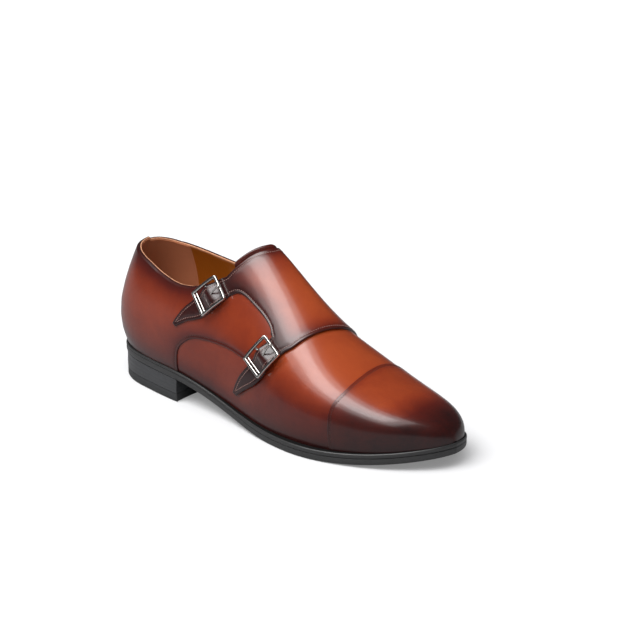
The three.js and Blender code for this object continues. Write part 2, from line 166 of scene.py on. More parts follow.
# Charts of the last: station s along the feather edge, girth a from the ridge, outer side negative.
NET_ALONG, NET_ROUND = 480, 160
chart_u = np.linspace(0, LAST_END, NET_ALONG + 1)
chart_v = np.linspace(0, 1, NET_ROUND + 1)
net_u, net_v = np.meshgrid(chart_u, chart_v, indexing="ij")
feather = last_row(chart_u)
feather_half = (feather[:, 2] + feather[:, 3]) / 2
chart_s = np.concatenate([[0], np.cumsum(np.hypot(np.diff(feather[:, 0]), np.diff(feather_half)))])
LAST_S = chart_s[-1]
chart_girth, chart_share = {}, {}
for side in (-1, 1):
    points = last_point(np.full(net_u.shape, side), net_u, net_v)
    steps = np.linalg.norm(np.diff(points, axis=1), axis=-1)[:, ::-1]
    girth = np.concatenate([np.zeros((NET_ALONG + 1, 1)), np.cumsum(steps, axis=1)], axis=1)
    chart_girth[side] = girth[:, -1]
    chart_share[side] = np.array([np.interp(chart_v, g / max(g[-1], 1e-6), chart_v[::-1]) for g in girth])


def s_of_x(x):
    return np.interp(x, feather[:, 0], chart_s)


def x_of_s(s):
    return np.interp(s, chart_s, feather[:, 0])


def girth_of(side, s):
    u = np.interp(s, chart_s, chart_u)
    return np.interp(u, chart_u, chart_girth[side])


def raised(side, u, v, height):
    """A point of the last moved out along its normal, and the normal."""
    point = last_point(side, u, v)
    un = np.clip(u, 0.001, LAST_END - 0.03)
    vn = np.clip(v, 0.001, 0.999)
    along = last_point(side, un + 0.001, vn) - last_point(side, un - 0.001, vn)
    up = last_point(side, un, vn + 0.001) - last_point(side, un, vn - 0.001)
    normal = unit(np.cross(along, up) * (-side)[..., None])
    return point + normal * np.asarray(height)[..., None], normal


# Points and normals of the whole last, outer side first, on a fine net of the chart.
nets = [raised(np.full(net_u.shape, side), net_u, chart_share[side], np.zeros(net_u.shape))
        for side in (-1, 1)]
last_net = np.concatenate([np.stack([net[0] for net in nets]), np.stack([net[1] for net in nets])], -1)


def on_last(s, a, height):
    """Point at station s and girth a, raised along the last's normal, and that normal."""
    s, a, height = np.broadcast_arrays(np.asarray(s, float), np.asarray(a, float), np.asarray(height, float))
    side = (a >= 0).astype(int)
    u = np.interp(s, chart_s, chart_u)
    full = np.where(side == 0, np.interp(u, chart_u, chart_girth[-1]), np.interp(u, chart_u, chart_girth[1]))
    share = np.clip(np.abs(a) / np.maximum(full, 1e-6), 0, 1)
    row = np.clip(u / LAST_END * NET_ALONG, 0, NET_ALONG - 0.001)
    col = np.clip(share * NET_ROUND, 0, NET_ROUND - 0.001)
    i, j = row.astype(int), col.astype(int)
    fi, fj = (row - i)[..., None], (col - j)[..., None]
    low = last_net[side, i, j] * (1 - fj) + last_net[side, i, j + 1] * fj
    high = last_net[side, i + 1, j] * (1 - fj) + last_net[side, i + 1, j + 1] * fj
    both = low * (1 - fi) + high * fi
    point, normal = both[..., :3], unit(both[..., 3:])
    return point + normal * height[..., None], normal


# The frame's place for the shoe: the heel back at the welt's box, the sole outline on its mid line.
SOLE_END = len(SOLE_ROWS) - 1
outline = sole_row(np.linspace(0, SOLE_END, 321))
outline_y = np.concatenate([outline[:, 1] - outline[:, 2], outline[:, 1] + outline[:, 3]])
welt_low, welt_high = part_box("welt")
welt_middle = (welt_low[1] + welt_high[1]) / 2 / MM
SHIFT = np.array([welt_low[0] / MM, welt_middle - (outline_y.min() + outline_y.max()) / 2, 0])


def place(points):
    """Shoe millimetres to the frame's metres."""
    return (np.asarray(points) + SHIFT) * MM


def make_piece(name, points, faces, material, marks=None, smooth_angle=40):
    """A mesh from shoe millimetres, smoothed below the angle, riding the shoe and masks."""
    mesh = bpy.data.meshes.new(name)
    mesh.from_pydata(place(points).tolist(), [], [tuple(f) for f in faces])
    mesh.validate()
    piece = bpy.data.objects.new(name, mesh)
    bpy.context.scene.collection.objects.link(piece)
    if marks:
        for mark, values in marks.items():
            layer = mesh.attributes.new(mark, "FLOAT", "POINT")
            layer.data.foreach_set("value", np.asarray(values, np.float32))
    mesh.shade_smooth()
    if smooth_angle < 180:
        mesh.set_sharp_from_angle(angle=math.radians(smooth_angle))
    mesh.materials.append(material)
    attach(piece, "root")
    return piece


def grid_faces(rows, cols, start=0, loop_rows=False, loop_cols=False, flip=False):
    """Quads of a grid of points, closed round either way where asked."""
    i = np.arange(rows if loop_rows else rows - 1)
    j = np.arange(cols if loop_cols else cols - 1)
    i, j = np.meshgrid(i, j, indexing="ij")
    i2, j2 = (i + 1) % rows, (j + 1) % cols
    quads = np.stack([i * cols + j, i2 * cols + j, i2 * cols + j2, i * cols + j2], -1).reshape(-1, 4) + start
    return quads[:, ::-1] if flip else quads


def merged(points, faces, marks, reach=1e-4):
    """Join points that coincide and drop the faces that this empties."""
    keys = np.round(points / reach).astype(np.int64)
    _, first, back = np.unique(keys, axis=0, return_index=True, return_inverse=True)
    back = back.reshape(-1)
    kept = []
    for face in faces:
        ring = []
        for corner in back[np.asarray(face)]:
            if not ring or ring[-1] != corner:
                ring.append(int(corner))
        if len(ring) > 1 and ring[0] == ring[-1]:
            ring.pop()
        if len(set(ring)) == len(ring) and len(ring) > 2:
            kept.append(ring)
    return points[first], kept, {k: np.asarray(m)[first] for k, m in marks.items()}


# --- Vamp and quarters, base layer ----------------------------------------------------------------
# The vamp and the lower wings are calf leather a millimetre thick, cut flat, closed at the heel and
# lasted: pulled down over the last and fixed under its edge. The dye is burnished by hand, darkest at edges.

TOPLINE_OUTER = np.array([
    (-12, 100), (2, 99.5), (10, 98.3), (20, 96), (35, 92.5), (50, 88.5), (65, 85.8), (75, 85.2), (86, 86.5),
    (96, 89.5), (104, 93), (113, 98), (121, 103.5), (128, 110), (133, 116), (138, 122), (141, 130),
])
TOPLINE_INNER = np.array([
    (-12, 100), (2, 99.5), (10, 96.5), (24, 93), (49, 91.8), (79, 89.8), (92, 91.5), (104, 95), (115, 100.5),
    (125, 107.5), (133, 113.5), (139, 119), (141, 125), (142, 130),
])
THROAT = 136.0
VAMP_THICK = 1.0


def girth_of_line(side, table):
    """Girth, at every station of the chart, where the last comes up to a line of distances and heights."""
    share = np.linspace(1, 0, 601)
    full = girth_of(side, chart_s)
    points, _ = on_last(chart_s[:, None], side * np.maximum(full[:, None] * share, 1e-6), 0.0)
    above = points[..., 2] > np.interp(points[..., 0], table[:, 0], table[:, 1])
    first = np.where(above.any(1), above.argmax(1), 600)
    at = full * share[first]
    return np.convolve(np.pad(at, 2, mode="edge"), np.ones(5) / 5, "valid")


topline_net = {-1: girth_of_line(-1, TOPLINE_OUTER), 1: girth_of_line(1, TOPLINE_INNER)}


def topline_girth(side, s):
    """Girth of the topline at each station, zero in front of the throat."""
    return np.where(s < s_of_x(THROAT), np.interp(s, chart_s, topline_net[side]), 0)


def node_group(name, inputs, outputs):
    group = bpy.data.node_groups.new(name, "ShaderNodeTree")
    for label, kind, value in inputs:
        socket = group.interface.new_socket(label, in_out="INPUT", socket_type=kind)
        socket.default_value = value
    for label, kind in outputs:
        group.interface.new_socket(label, in_out="OUTPUT", socket_type=kind)
    entry = group.nodes.new("NodeGroupInput")
    leave = group.nodes.new("NodeGroupOutput")
    return group, entry, leave


def add(tree, kind, settings=None, links=None):
    """Add a node, set its sockets and properties, and link its inputs."""
    node = tree.nodes.new(kind)
    for key, value in (settings or {}).items():
        if isinstance(key, str) and hasattr(node, key) and key not in node.inputs:
            setattr(node, key, value)
        else:
            node.inputs[key].default_value = value
    for key, source in (links or {}).items():
        tree.links.new(source, node.inputs[key])
    return node


def maths(tree, operation, first, second, clamp=False):
    """A Math node on a socket and a second socket or value."""
    node = add(tree, "ShaderNodeMath", {"operation": operation, "use_clamp": clamp}, {0: first})
    if isinstance(second, bpy.types.NodeSocket):
        tree.links.new(second, node.inputs[1])
    else:
        node.inputs[1].default_value = second
    return node.outputs[0]


def object_place(tree):
    return add(tree, "ShaderNodeTexCoord").outputs["Object"]


def new_material(name):
    """A material, its nodes and its Principled surface."""
    material = bpy.data.materials.new(name)
    material.use_nodes = True
    return material, material.node_tree, material.node_tree.nodes["Principled BSDF"]


# Hand-burnished dye: a burnish mask, mottled by cloudy noise, runs from the light to the dark dye. On some
# pieces the mask also carries painted shadow and a painted highlight.
patina, enter, leave = node_group("hand_patina", [
    ("Burnish", "NodeSocketFloat", 0.3), ("Mottle", "NodeSocketFloat", 0.2),
    ("Light Dye", "NodeSocketColor", (0.5, 0.12, 0.02, 1)),
    ("Warm Dye", "NodeSocketColor", (0.3, 0.05, 0.012, 1)),
    ("Deep Dye", "NodeSocketColor", (0.09, 0.012, 0.006, 1)),
    ("Edge Dye", "NodeSocketColor", (0.02, 0.006, 0.006, 1)),
], [("Color", "NodeSocketColor"), ("Roughness", "NodeSocketFloat")])
where = object_place(patina)
cloud = add(patina, "ShaderNodeTexNoise",
            {"Scale": 38.0, "Detail": 5.0, "Roughness": 0.6, "Distortion": 0.6}, {"Vector": where})
fleck = add(patina, "ShaderNodeTexNoise",
            {"Scale": 320.0, "Detail": 4.0, "Roughness": 0.7}, {"Vector": where})
cloudy = maths(patina, "SUBTRACT", cloud.outputs["Fac"], 0.5)
flecky = maths(patina, "SUBTRACT", fleck.outputs["Fac"], 0.5)
mixed = maths(patina, "ADD", cloudy, maths(patina, "MULTIPLY", flecky, 0.35))
amount = maths(patina, "MULTIPLY", mixed, enter.outputs["Mottle"])
depth = maths(patina, "ADD", amount, enter.outputs["Burnish"], clamp=True)
dye = enter.outputs["Light Dye"]
for label, begins, ends in (("Warm Dye", 0.0, 0.34), ("Deep Dye", 0.34, 0.68), ("Edge Dye", 0.68, 1.0)):
    amount = add(patina, "ShaderNodeMapRange", {1: begins, 2: ends}, {0: depth})
    dye = add(patina, "ShaderNodeMix", {"data_type": "RGBA"},
              {0: amount.outputs[0], 6: dye, 7: enter.outputs[label]}).outputs[2]
patina.links.new(dye, leave.inputs["Color"])
shine = add(patina, "ShaderNodeMapRange", {1: 0.3, 2: 0.7, 3: 0.30, 4: 0.38}, {0: fleck.outputs["Fac"]})
patina.links.new(shine.outputs[0], leave.inputs["Roughness"])

# Leather grain: tiny creased cells and pores, as a bump normal.
grain, enter, leave = node_group("leather_grain", [
    ("Cell Scale", "NodeSocketFloat", 900.0), ("Depth", "NodeSocketFloat", 0.12),
], [("Normal", "NodeSocketVector")])
where = object_place(grain)
cells = add(grain, "ShaderNodeTexVoronoi", {"feature": "DISTANCE_TO_EDGE"},
            {"Vector": where, "Scale": enter.outputs["Cell Scale"]})
crease = add(grain, "ShaderNodeMapRange", {1: 0.0, 2: 0.12}, {0: cells.outputs["Distance"]})
pore = add(grain, "ShaderNodeTexNoise", {"Scale": 2600.0, "Detail": 3.0}, {"Vector": where})
relief = maths(grain, "ADD", crease.outputs[0], pore.outputs["Fac"])
bump = add(grain, "ShaderNodeBump", {"Distance": 0.00004},
           {"Height": relief, "Strength": enter.outputs["Depth"]})
grain.links.new(bump.outputs[0], leave.inputs["Normal"])


def leather(name, dyes, mottle, cell_scale, depth, coat, coat_roughness, fixed_burnish=None):
    """Calf leather: patina colour, fine grain and a waxed coat."""
    material, tree, surface = new_material(name)
    colour = add(tree, "ShaderNodeGroup", {"node_tree": patina, "Mottle": mottle})
    for label, value in zip(("Light Dye", "Warm Dye", "Deep Dye", "Edge Dye"), dyes):
        colour.inputs[label].default_value = (*value, 1)
    if fixed_burnish is None:
        mask = add(tree, "ShaderNodeAttribute", {"attribute_name": "burnish_and_painted_light"})
        tree.links.new(mask.outputs["Fac"], colour.inputs["Burnish"])
    else:
        colour.inputs["Burnish"].default_value = fixed_burnish
    skin = add(tree, "ShaderNodeGroup", {"node_tree": grain, "Cell Scale": cell_scale, "Depth": depth})
    tree.links.new(colour.outputs["Color"], surface.inputs["Base Color"])
    tree.links.new(colour.outputs["Roughness"], surface.inputs["Roughness"])
    tree.links.new(skin.outputs["Normal"], surface.inputs["Normal"])
    surface.inputs["Specular IOR Level"].default_value = 0.3
    surface.inputs["Coat Weight"].default_value = coat
    surface.inputs["Coat Roughness"].default_value = coat_roughness
    return material


COGNAC = ((0.36, 0.060, 0.012), (0.205, 0.025, 0.006), (0.080, 0.0075, 0.0035), (0.017, 0.0036, 0.0036))
cognac_calf = leather("cognac_calf", COGNAC, 0.30, 900.0, 0.10, 0.8, 0.17)


def fade(distance, reach, strength, power=1.0):
    """Darkening that is strongest at a line and fades away from it."""
    return strength * np.exp(-(np.clip(distance, 0, None) / reach) ** power)


def layered(*shades):
    """Several coats of dark dye, one over the other."""
    light = 1.0
    for shade in shades:
        light = light * (1 - np.clip(shade, 0, 1))
    return 1 - light


def body_burnish(s, a):
    """Dye of the whole upper before its panels: dark at the sole, at the toe and at the heel."""
    side = np.where(a < 0, -1, 1)
    full = np.where(side < 0, girth_of(-1, s), girth_of(1, s))
    share = np.abs(a) / np.maximum(full, 1)
    x = x_of_s(s)
    low_side = 0.66 * smooth((share - 0.42) / 0.40) * smooth((x - 150) / 30)
    toe = 0.93 * smooth((x - 256) / 36)
    toe_side = 0.66 * smooth((x - 218) / 30) * smooth((share - 0.40) / 0.24)
    wing = 0.40 * smooth((178 - x) / 16) * (side < 0)
    return layered(0.14 + 0 * s, fade(full - np.abs(a), 9, 0.88, 1.4), low_side, toe, toe_side, wing,
                   fade(s, 13, 0.8, 1.3))


def shell(name, outer, inner, drop, columns, rows, material, shade_of=None):
    """A closed leather layer over the whole last, from the feather edge to the topline."""
    s = np.linspace(0, LAST_S, columns)
    stitch_in = s_of_x(THROAT)
    s = np.unique(np.append(s, stitch_in))
    columns = len(s)
    open_at = int(np.searchsorted(s, stitch_in))
    points, faces, marks = [], [], []
    start = 0
    turns = np.linspace(0, math.pi, 7)[1:-1]
    for side in (-1, 1):
        top = topline_girth(side, s)
        top = np.where(top > 0, top + drop, 0)
        full = girth_of(side, s)
        share = np.linspace(0, 1, rows)
        a = side * (full[:, None] + (top - full)[:, None] * share)
        a = np.where(np.abs(a) < 1e-9, 0, a)
        s_grid = s[:, None] + 0 * share
        face_out, normal = on_last(s_grid, a, outer)
        face_in, _ = on_last(s_grid, a, inner)
        middle, _ = on_last(s, a[:, -1], (outer + inner) / 2)
        below, _ = on_last(s, a[:, -1] + side * 0.3, (outer + inner) / 2)
        up = unit(middle - below)
        half = (outer - inner) / 2
        rim = [middle + normal[:, -1] * half * math.cos(t) + up * half * math.sin(t) for t in turns]
        ring = np.concatenate([face_out, np.stack(rim, 1), face_in[:, ::-1]], 1)
        closed = np.concatenate([face_out, np.repeat(face_out[:, -1:], len(turns), 1), face_in[:, ::-1]], 1)
        ring[open_at:] = closed[open_at:]
        count = ring.shape[1]
        quads = grid_faces(columns, count, start, loop_cols=True, flip=side > 0)
        column = (quads.min(1) - start) // count
        row = np.sort((quads - start) % count, axis=1)
        rim_face = (row[:, 0] >= rows - 1) & (row[:, 3] <= rows + len(turns)) & (column >= open_at)
        faces.extend(quads[~rim_face].tolist())
        points.append(ring.reshape(-1, 3))
        shade = np.concatenate([a, np.repeat(a[:, -1:], len(turns), 1), a[:, ::-1]], 1)
        s_all = np.repeat(s[:, None], count, 1)
        edge = np.abs(np.abs(shade) - top[:, None])
        edge = np.where((top > 0)[:, None], edge, 99)
        if shade_of:
            marks.append(shade_of(s_all, shade, edge).reshape(-1))
        else:
            marks.append(layered(body_burnish(s_all, shade), fade(edge, 7, 0.8, 1.2)).reshape(-1))
        start += ring.shape[0] * count
    points, faces, marks = merged(np.concatenate(points), faces, {"burnish_and_painted_light": np.concatenate(marks)})
    return make_piece(name, points, faces, material, marks)


vamp = shell("vamp_and_wings", 0.0, -VAMP_THICK, 2.2, 250, 64, cognac_calf)
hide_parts("upper")

# --- Lining ---------------------------------------------------------------------------------------
# A tan lining is glued and sewn inside the upper and ends just below the topline. A paler piece of
# sheepskin lines the heel, and its front edge shows as a seam across the inside.

# TAN's first, palest dye shows mainly at the lining's rim, where it is a painted highlight.
TAN = ((0.66, 0.33, 0.19), (0.31, 0.080, 0.006), (0.22, 0.05, 0.004), (0.13, 0.03, 0.004))
PALE_TAN = ((0.50, 0.19, 0.095), (0.42, 0.145, 0.070), (0.32, 0.10, 0.045), (0.2, 0.06, 0.03))
tan_lining = leather("tan_lining", TAN, 0.25, 700.0, 0.25, 0.0, 0.5)
tan_sock = leather("tan_sock", TAN, 0.25, 700.0, 0.25, 0.0, 0.5, 0.36)
pale_lining = leather("pale_heel_lining", PALE_TAN, 0.25, 700.0, 0.25, 0.0, 0.5, 0.22)
HEEL_LINING_FRONT, HEEL_LINING_OUT, HEEL_LINING_THICK = 33.5, -1.92, 0.5

# The lining's mask falls to nothing at its rim, so the pale dye shows there as a painted highlight along the
# inner lip of the topline.
shell("quarter_lining", -VAMP_THICK - 0.05, -1.9, 0.2, 180, 48, tan_lining,
      lambda s, a, edge: 0.36 - 0.36 * np.exp(-(edge / 1.1) ** 2))


def heel_lining():
    """The pale heel lining: one closed layer round the heel on the inside of the tan lining."""
    s = np.linspace(0, s_of_x(HEEL_LINING_FRONT), 60)
    rows = 36
    points, faces, start = [], [], 0
    for side in (-1, 1):
        top = topline_girth(side, s) + 0.9
        full = girth_of(side, s)
        share = np.linspace(0, 1, rows)
        a = side * (full[:, None] + (top - full)[:, None] * share)
        s_grid = s[:, None] + 0 * share
        thick = HEEL_LINING_THICK * np.minimum(1, (s[-1] - s) / 1.5)[:, None] + 0 * share
        face_out, _ = on_last(s_grid, a, HEEL_LINING_OUT)
        face_in, _ = on_last(s_grid, a, HEEL_LINING_OUT - thick)
        ring = np.concatenate([face_out, face_in[:, ::-1]], 1)
        faces.extend(grid_faces(len(s), 2 * rows, start, loop_cols=True, flip=side > 0).tolist())
        points.append(ring.reshape(-1, 3))
        start += ring.shape[0] * ring.shape[1]
    points, faces, _ = merged(np.concatenate(points), faces, {})
    return make_piece("heel_lining", points, faces, pale_lining)


heel_lining()

# --- Outer quarter --------------------------------------------------------------------------------
# The outer quarter is one panel of calf with a turned top edge and a sweeping lower edge. It is glued
# and stitched over the wing of the vamp, and it carries both buckles.

EDGE_RADIUS = 0.55
OFFSETS = (0.06, 0.2, 0.4, 0.65, 1.0, 1.5, 2.1, 2.7)
STITCH_INSET, STITCH_PITCH, STITCH_LENGTH, STITCH_RADIUS = 2.1, 1.7, 1.2, 0.27
STITCH_SINK, TRENCH_DEEP, TRENCH_WIDE = 0.14, 0.22, 0.55


def chart_of(x, level, lean, side, height):
    """Station and girth where the last, raised by height, meets x and y cos(lean) + z sin(lean) = level."""
    x, level = np.atleast_1d(np.asarray(x, float)), np.atleast_1d(np.asarray(level, float))
    c, n = math.cos(math.radians(lean)), math.sin(math.radians(lean))
    s = s_of_x(x)
    shares = np.linspace(0.001, 1, 60)
    full = girth_of(side, s)
    spread, _ = on_last(s[:, None], side * full[:, None] * shares, height)
    a = side * full * shares[np.abs(spread[..., 1] * c + spread[..., 2] * n - level[:, None]).argmin(1)]

    def miss(s, a):
        p, _ = on_last(s, a, height)
        return np.stack([p[:, 0] - x, p[:, 1] * c + p[:, 2] * n - level], -1)
    for _ in range(10):
        f, step = miss(s, a), 0.05
        slope = np.stack([miss(s + step, a) - f, miss(s, a + step) - f], -1) / step
        move = np.clip(np.linalg.solve(slope, f[..., None])[..., 0], -4, 4)
        s, a = s - move[:, 0], a - move[:, 1]
    return np.stack([s, a], -1)


def evenly(points, step, curved=True):
    """A run of evenly spaced points along a smooth curve through the given ones."""
    points = np.asarray(points, float)
    if curved and len(points) > 2:
        points = row_spline(points)(np.linspace(0, len(points) - 1, 40 * len(points)))
    run = run_along(points)
    count = max(2, int(round(run[-1] / step)) + 1)
    want = np.linspace(0, run[-1], count)
    return np.stack([np.interp(want, run, points[:, k]) for k in range(points.shape[1])], -1)


def distance_to(points, ring, closed=True):
    """Distance of each chart point from a line, by the two segments at the line's nearest corner."""
    tree = KDTree(len(ring))
    for k, (s, a) in enumerate(ring.tolist()):
        tree.insert((s, a, 0), k)
    tree.balance()
    near = np.array([tree.find((s, a, 0))[1] for s, a in points.tolist()], int)
    count = len(ring)
    best = np.full(len(points), np.inf)
    for step in (-1, 1):
        other = (near + step) % count if closed else np.clip(near + step, 0, count - 1)
        head, along = ring[near], ring[other] - ring[near]
        size = np.maximum((along**2).sum(1), 1e-12)
        t = np.clip(((points - head) * along).sum(1) / size, 0, 1)
        best = np.minimum(best, np.linalg.norm(points - head - t[:, None] * along, axis=1))
    return best


def inside(points, ring):
    """Even-odd test of chart points against a closed ring."""
    within = np.zeros(len(points), bool)
    for (s0, a0), (s1, a1) in zip(ring, np.roll(ring, -1, axis=0)):
        if a0 == a1:
            continue
        crosses = (a0 > points[:, 1]) != (a1 > points[:, 1])
        at = s0 + (points[:, 1] - a0) / (a1 - a0) * (s1 - s0)
        within ^= crosses & (points[:, 0] < at)
    return within


class Patch:
    """A leather piece on the last: legs of outline, underside height, thickness and added relief."""

    def __init__(self, legs, under, thick, relief=None, stitched=(), step=0.8):
        self.legs = [evenly(leg, step, curved) for leg, curved in legs]
        self.ring = np.concatenate([leg[:-1] for leg in self.legs])
        turn = np.roll(self.ring, -1, axis=0)
        area = (self.ring[:, 0] * turn[:, 1] - turn[:, 0] * self.ring[:, 1]).sum()
        self.sign = 1 if area > 0 else -1
        self.under, self.thick, self.relief = under, thick, relief
        self.stitched = [self.legs[k] for k in stitched]
        self.seams = [self.seam_line(leg) for leg in self.stitched]

    def seam_line(self, leg, inset=STITCH_INSET):
        """The line that runs inside a leg of the outline at the stitch inset."""
        along = unit(np.gradient(leg, axis=0))
        line = leg + self.sign * inset * np.stack([-along[:, 1], along[:, 0]], -1)
        clear = distance_to(line, self.ring) > inset - 0.12
        return line[clear & inside(line, self.ring)]

    def top(self, s, a, d):
        """Height of the upper face at distance d from the outline."""
        round_in = np.clip(d / EDGE_RADIUS, 0, 1)
        edge = np.sqrt(np.clip(1 - (1 - round_in) ** 2, 0, 1))
        height = self.under(s, a) + self.thick * (0.45 + 0.55 * edge)
        return height + (self.relief(s, a) if self.relief else 0)

    def mesh(self, name, material, slot, shade, spacing=1.35, smooth_angle=50):
        ring = self.ring
        along = unit(np.roll(ring, -1, axis=0) - np.roll(ring, 1, axis=0))
        inward = self.sign * np.stack([-along[:, 1], along[:, 0]], -1)
        extra = []
        for offset in OFFSETS:
            line = ring + inward * offset
            keep = (distance_to(line, ring) > offset * 0.985) & inside(line, ring)
            extra.append(line[keep])
        low, high = ring.min(0), ring.max(0)
        s = np.arange(low[0], high[0], spacing * 0.866)
        a = np.arange(low[1], high[1], spacing)
        grid = np.stack(np.meshgrid(s, a, indexing="ij"), -1)
        grid[1::2, :, 1] += spacing / 2
        grid = grid.reshape(-1, 2)
        grid = grid[inside(grid, ring)]
        extra.append(grid[distance_to(grid, ring) > OFFSETS[-1] + spacing * 0.6])
        flat = np.concatenate([ring] + extra)
        count = len(ring)
        edges = [(k, (k + 1) % count) for k in range(count)]
        out, _, triangles, _, _, _ = delaunay_2d_cdt([Vector(p) for p in flat.tolist()], edges, [], 1, 1e-7)
        flat = np.array([tuple(p) for p in out])
        s, a = flat[:, 0], flat[:, 1]
        d = distance_to(flat, ring)
        d[:count] = 0
        height = self.top(s, a, d)
        for seam in self.seams:
            if len(seam) > 2:
                gap = distance_to(flat, seam, closed=False)
                height = height - TRENCH_DEEP * np.exp(-(gap / TRENCH_WIDE) ** 2)
        upper, _ = on_last(s, a, height)
        lower, _ = on_last(s, a, self.under(s, a) + (self.relief(s, a) if self.relief else 0))
        total = len(flat)
        faces = []
        triangles = np.array(triangles)
        p0, p1, p2 = flat[triangles[:, 0]], flat[triangles[:, 1]], flat[triangles[:, 2]]
        turn = (p1[:, 0] - p0[:, 0]) * (p2[:, 1] - p0[:, 1]) - (p1[:, 1] - p0[:, 1]) * (p2[:, 0] - p0[:, 0])
        triangles[turn < 0] = triangles[turn < 0][:, ::-1]
        # Growing s and growing a turn the face inwards on this chart, so the order is reversed on top.
        faces.extend(triangles[:, ::-1].tolist())
        faces.extend((triangles + total).tolist())
        rim = np.array(edges)
        if self.sign < 0:
            rim = rim[:, ::-1]
        faces.extend([[i, j, j + total, i + total] for i, j in rim.tolist()])
        burnish_and_painted_light = shade(s, a, d)
        return make_piece(name, np.concatenate([upper, lower]), faces, material,
                          {"burnish_and_painted_light": np.tile(burnish_and_painted_light, 2)}, smooth_angle)

    def stitch_points(self):
        """Ends of each stitch along the seams: two points and the face normal."""
        heads, tails, normals = [], [], []
        for seam in self.seams:
            if len(seam) < 3:
                continue
            gaps = np.linalg.norm(np.diff(seam, axis=0), axis=1)
            for part in np.split(seam, np.where(gaps > 4)[0] + 1):
                if len(part) < 3:
                    continue
                fine = evenly(part, STITCH_PITCH / 8, False)
                d = distance_to(fine, self.ring)
                height = self.top(fine[:, 0], fine[:, 1], d) - STITCH_SINK
                line, normal = on_last(fine[:, 0], fine[:, 1], height)
                run = run_along(line)
                starts = np.arange(0.3, run[-1] - STITCH_LENGTH, STITCH_PITCH)
                for at, into in ((starts, heads), (starts + STITCH_LENGTH, tails)):
                    into.append(np.stack([np.interp(at, run, line[:, k]) for k in range(3)], -1))
                normals.append(np.stack([np.interp(starts, run, normal[:, k]) for k in range(3)], -1))
        return np.concatenate(heads), np.concatenate(tails), np.concatenate(normals)


def stitch_mesh(name, material, rows, radius=STITCH_RADIUS):
    """All stitches of some seams as one mesh of small rounded capsules, sunk at both ends."""
    heads, tails, normals = (np.concatenate(part) for part in zip(*rows))
    along = tails - heads
    size = np.linalg.norm(along, axis=1, keepdims=True)
    along = along / size
    across = unit(np.cross(normals, along))
    out = np.cross(along, across)
    # Profile: share of the length, share of the radius, rise; the ends dive into the leather.
    profile = ((0, 0.15, -0.9), (0.06, 0.7, -0.45), (0.22, 1.0, 0.0), (0.5, 1.05, 0.12), (0.78, 1.0, 0.0),
               (0.94, 0.7, -0.45), (1, 0.15, -0.9))
    turns = np.linspace(0, 2 * math.pi, 7)[:-1]
    rings = []
    for share, wide, rise in profile:
        centre = heads + along * size * share + out * radius * rise
        spokes = [across * math.cos(t) + out * math.sin(t) for t in turns]
        rings.append(np.stack([centre + radius * wide * spoke for spoke in spokes], 1))
    points = np.stack(rings, 1)
    each = len(profile) * len(turns)
    one = grid_faces(len(profile), len(turns), loop_cols=True).tolist()
    first = list(range(len(turns)))
    one += [first[::-1], [each - len(turns) + k for k in first]]
    faces = [[i + k * each for i in face] for k in range(len(heads)) for face in one]
    return make_piece(name, points.reshape(-1, 3), faces, material, None, 180)


# Lower edge of the outer quarter: distance from the heel back and height.
WING_SEAM = np.array([
    (79.0, 26.2), (79.1, 30.4), (80.6, 39.5), (85.1, 46.1), (93.1, 51.6), (102.4, 53.8), (114.4, 54.4),
    (129.3, 53.7), (143.3, 51.1), (154, 48.3),
])
QUARTER_THICK, TURNED_EDGE = 0.9, 0.95
# Front edge below the straps, from the wing seam up to the topline: distance and girth.
QUARTER_FRONT = ((161.5, -67.0), (168.0, -56.0), (171.0, -45.0), (165.0, -32.0), (150.0, -22.0))


def hidden_topline(side, s):
    """The topline, lowered where the flap lies over it."""
    lowered = 2.6 * smooth((x_of_s(s) - 111) / 8)
    return topline_girth(side, s) + lowered


def quarter_under(s, a):
    """The quarter lies on the wing and turns in over the raw edge at the topline."""
    below = np.abs(a) - hidden_topline(-1, s)
    return 0.04 - (TURNED_EDGE + 0.04) * (1 - smooth((below - 0.9) / 0.9))


wing_seam = chart_of(WING_SEAM[:, 0], WING_SEAM[:, 1], 90, -1, QUARTER_THICK)
wing_foot = np.array([wing_seam[0, 0] - 0.4, -girth_of(-1, wing_seam[0, 0])])
wing_leg = np.concatenate([[wing_foot], wing_seam[1:]])
front_s = s_of_x(131.0)
top_s = np.linspace(0.0, front_s, 160)
quarter_top = np.stack([top_s, -hidden_topline(-1, top_s)], -1)
feather_s = np.linspace(0.0, wing_foot[0], 90)
quarter_front = [(s_of_x(x), a) for x, a in QUARTER_FRONT]
quarter = Patch([
    (wing_leg, True),
    (np.array([wing_leg[-1], *quarter_front, quarter_top[-1]]), True),
    (quarter_top[::-1], False),
    (np.array([quarter_top[0], (0.0, -girth_of(-1, 0.0))]), False),
    (np.stack([feather_s, -girth_of(-1, feather_s)], -1), False),
], quarter_under, QUARTER_THICK, stitched=(0,))


def quarter_shade(s, a, d):
    """Dark at the topline, the heel back, the sole and the sewn edge, with painted shadow below the straps;
    cognac between.
    """
    full = girth_of(-1, s)
    top = np.abs(a) - hidden_topline(-1, s)
    seam = distance_to(np.stack([s, a], -1), quarter.legs[0], closed=False)
    low_side = 0.30 * smooth((np.abs(a) / full - 0.62) / 0.3)
    # Painted shadow: a soft dark patch on the quarter below the straps, where they shade it.
    strap_shadow = 0.30 * np.exp(-((s - 104) / 26) ** 2 - ((a + 90) / 12) ** 2)
    return layered(0.34 + 0 * s, fade(full - np.abs(a), 9, 0.88, 1.4), fade(top, 10, 0.9, 1.3),
                   fade(s, 16, 0.88, 1.3), fade(seam, 5, 0.75, 1.2), low_side, strap_shadow)


quarter.mesh("outer_quarter", cognac_calf, "upper_leather", quarter_shade)

# --- Toe cap --------------------------------------------------------------------------------------
# The toe cap is a separate panel sewn over the front of the vamp with one plain row of stitches. It is
# the most polished part, nearly black at the tip.

CAP_THICK = 0.62
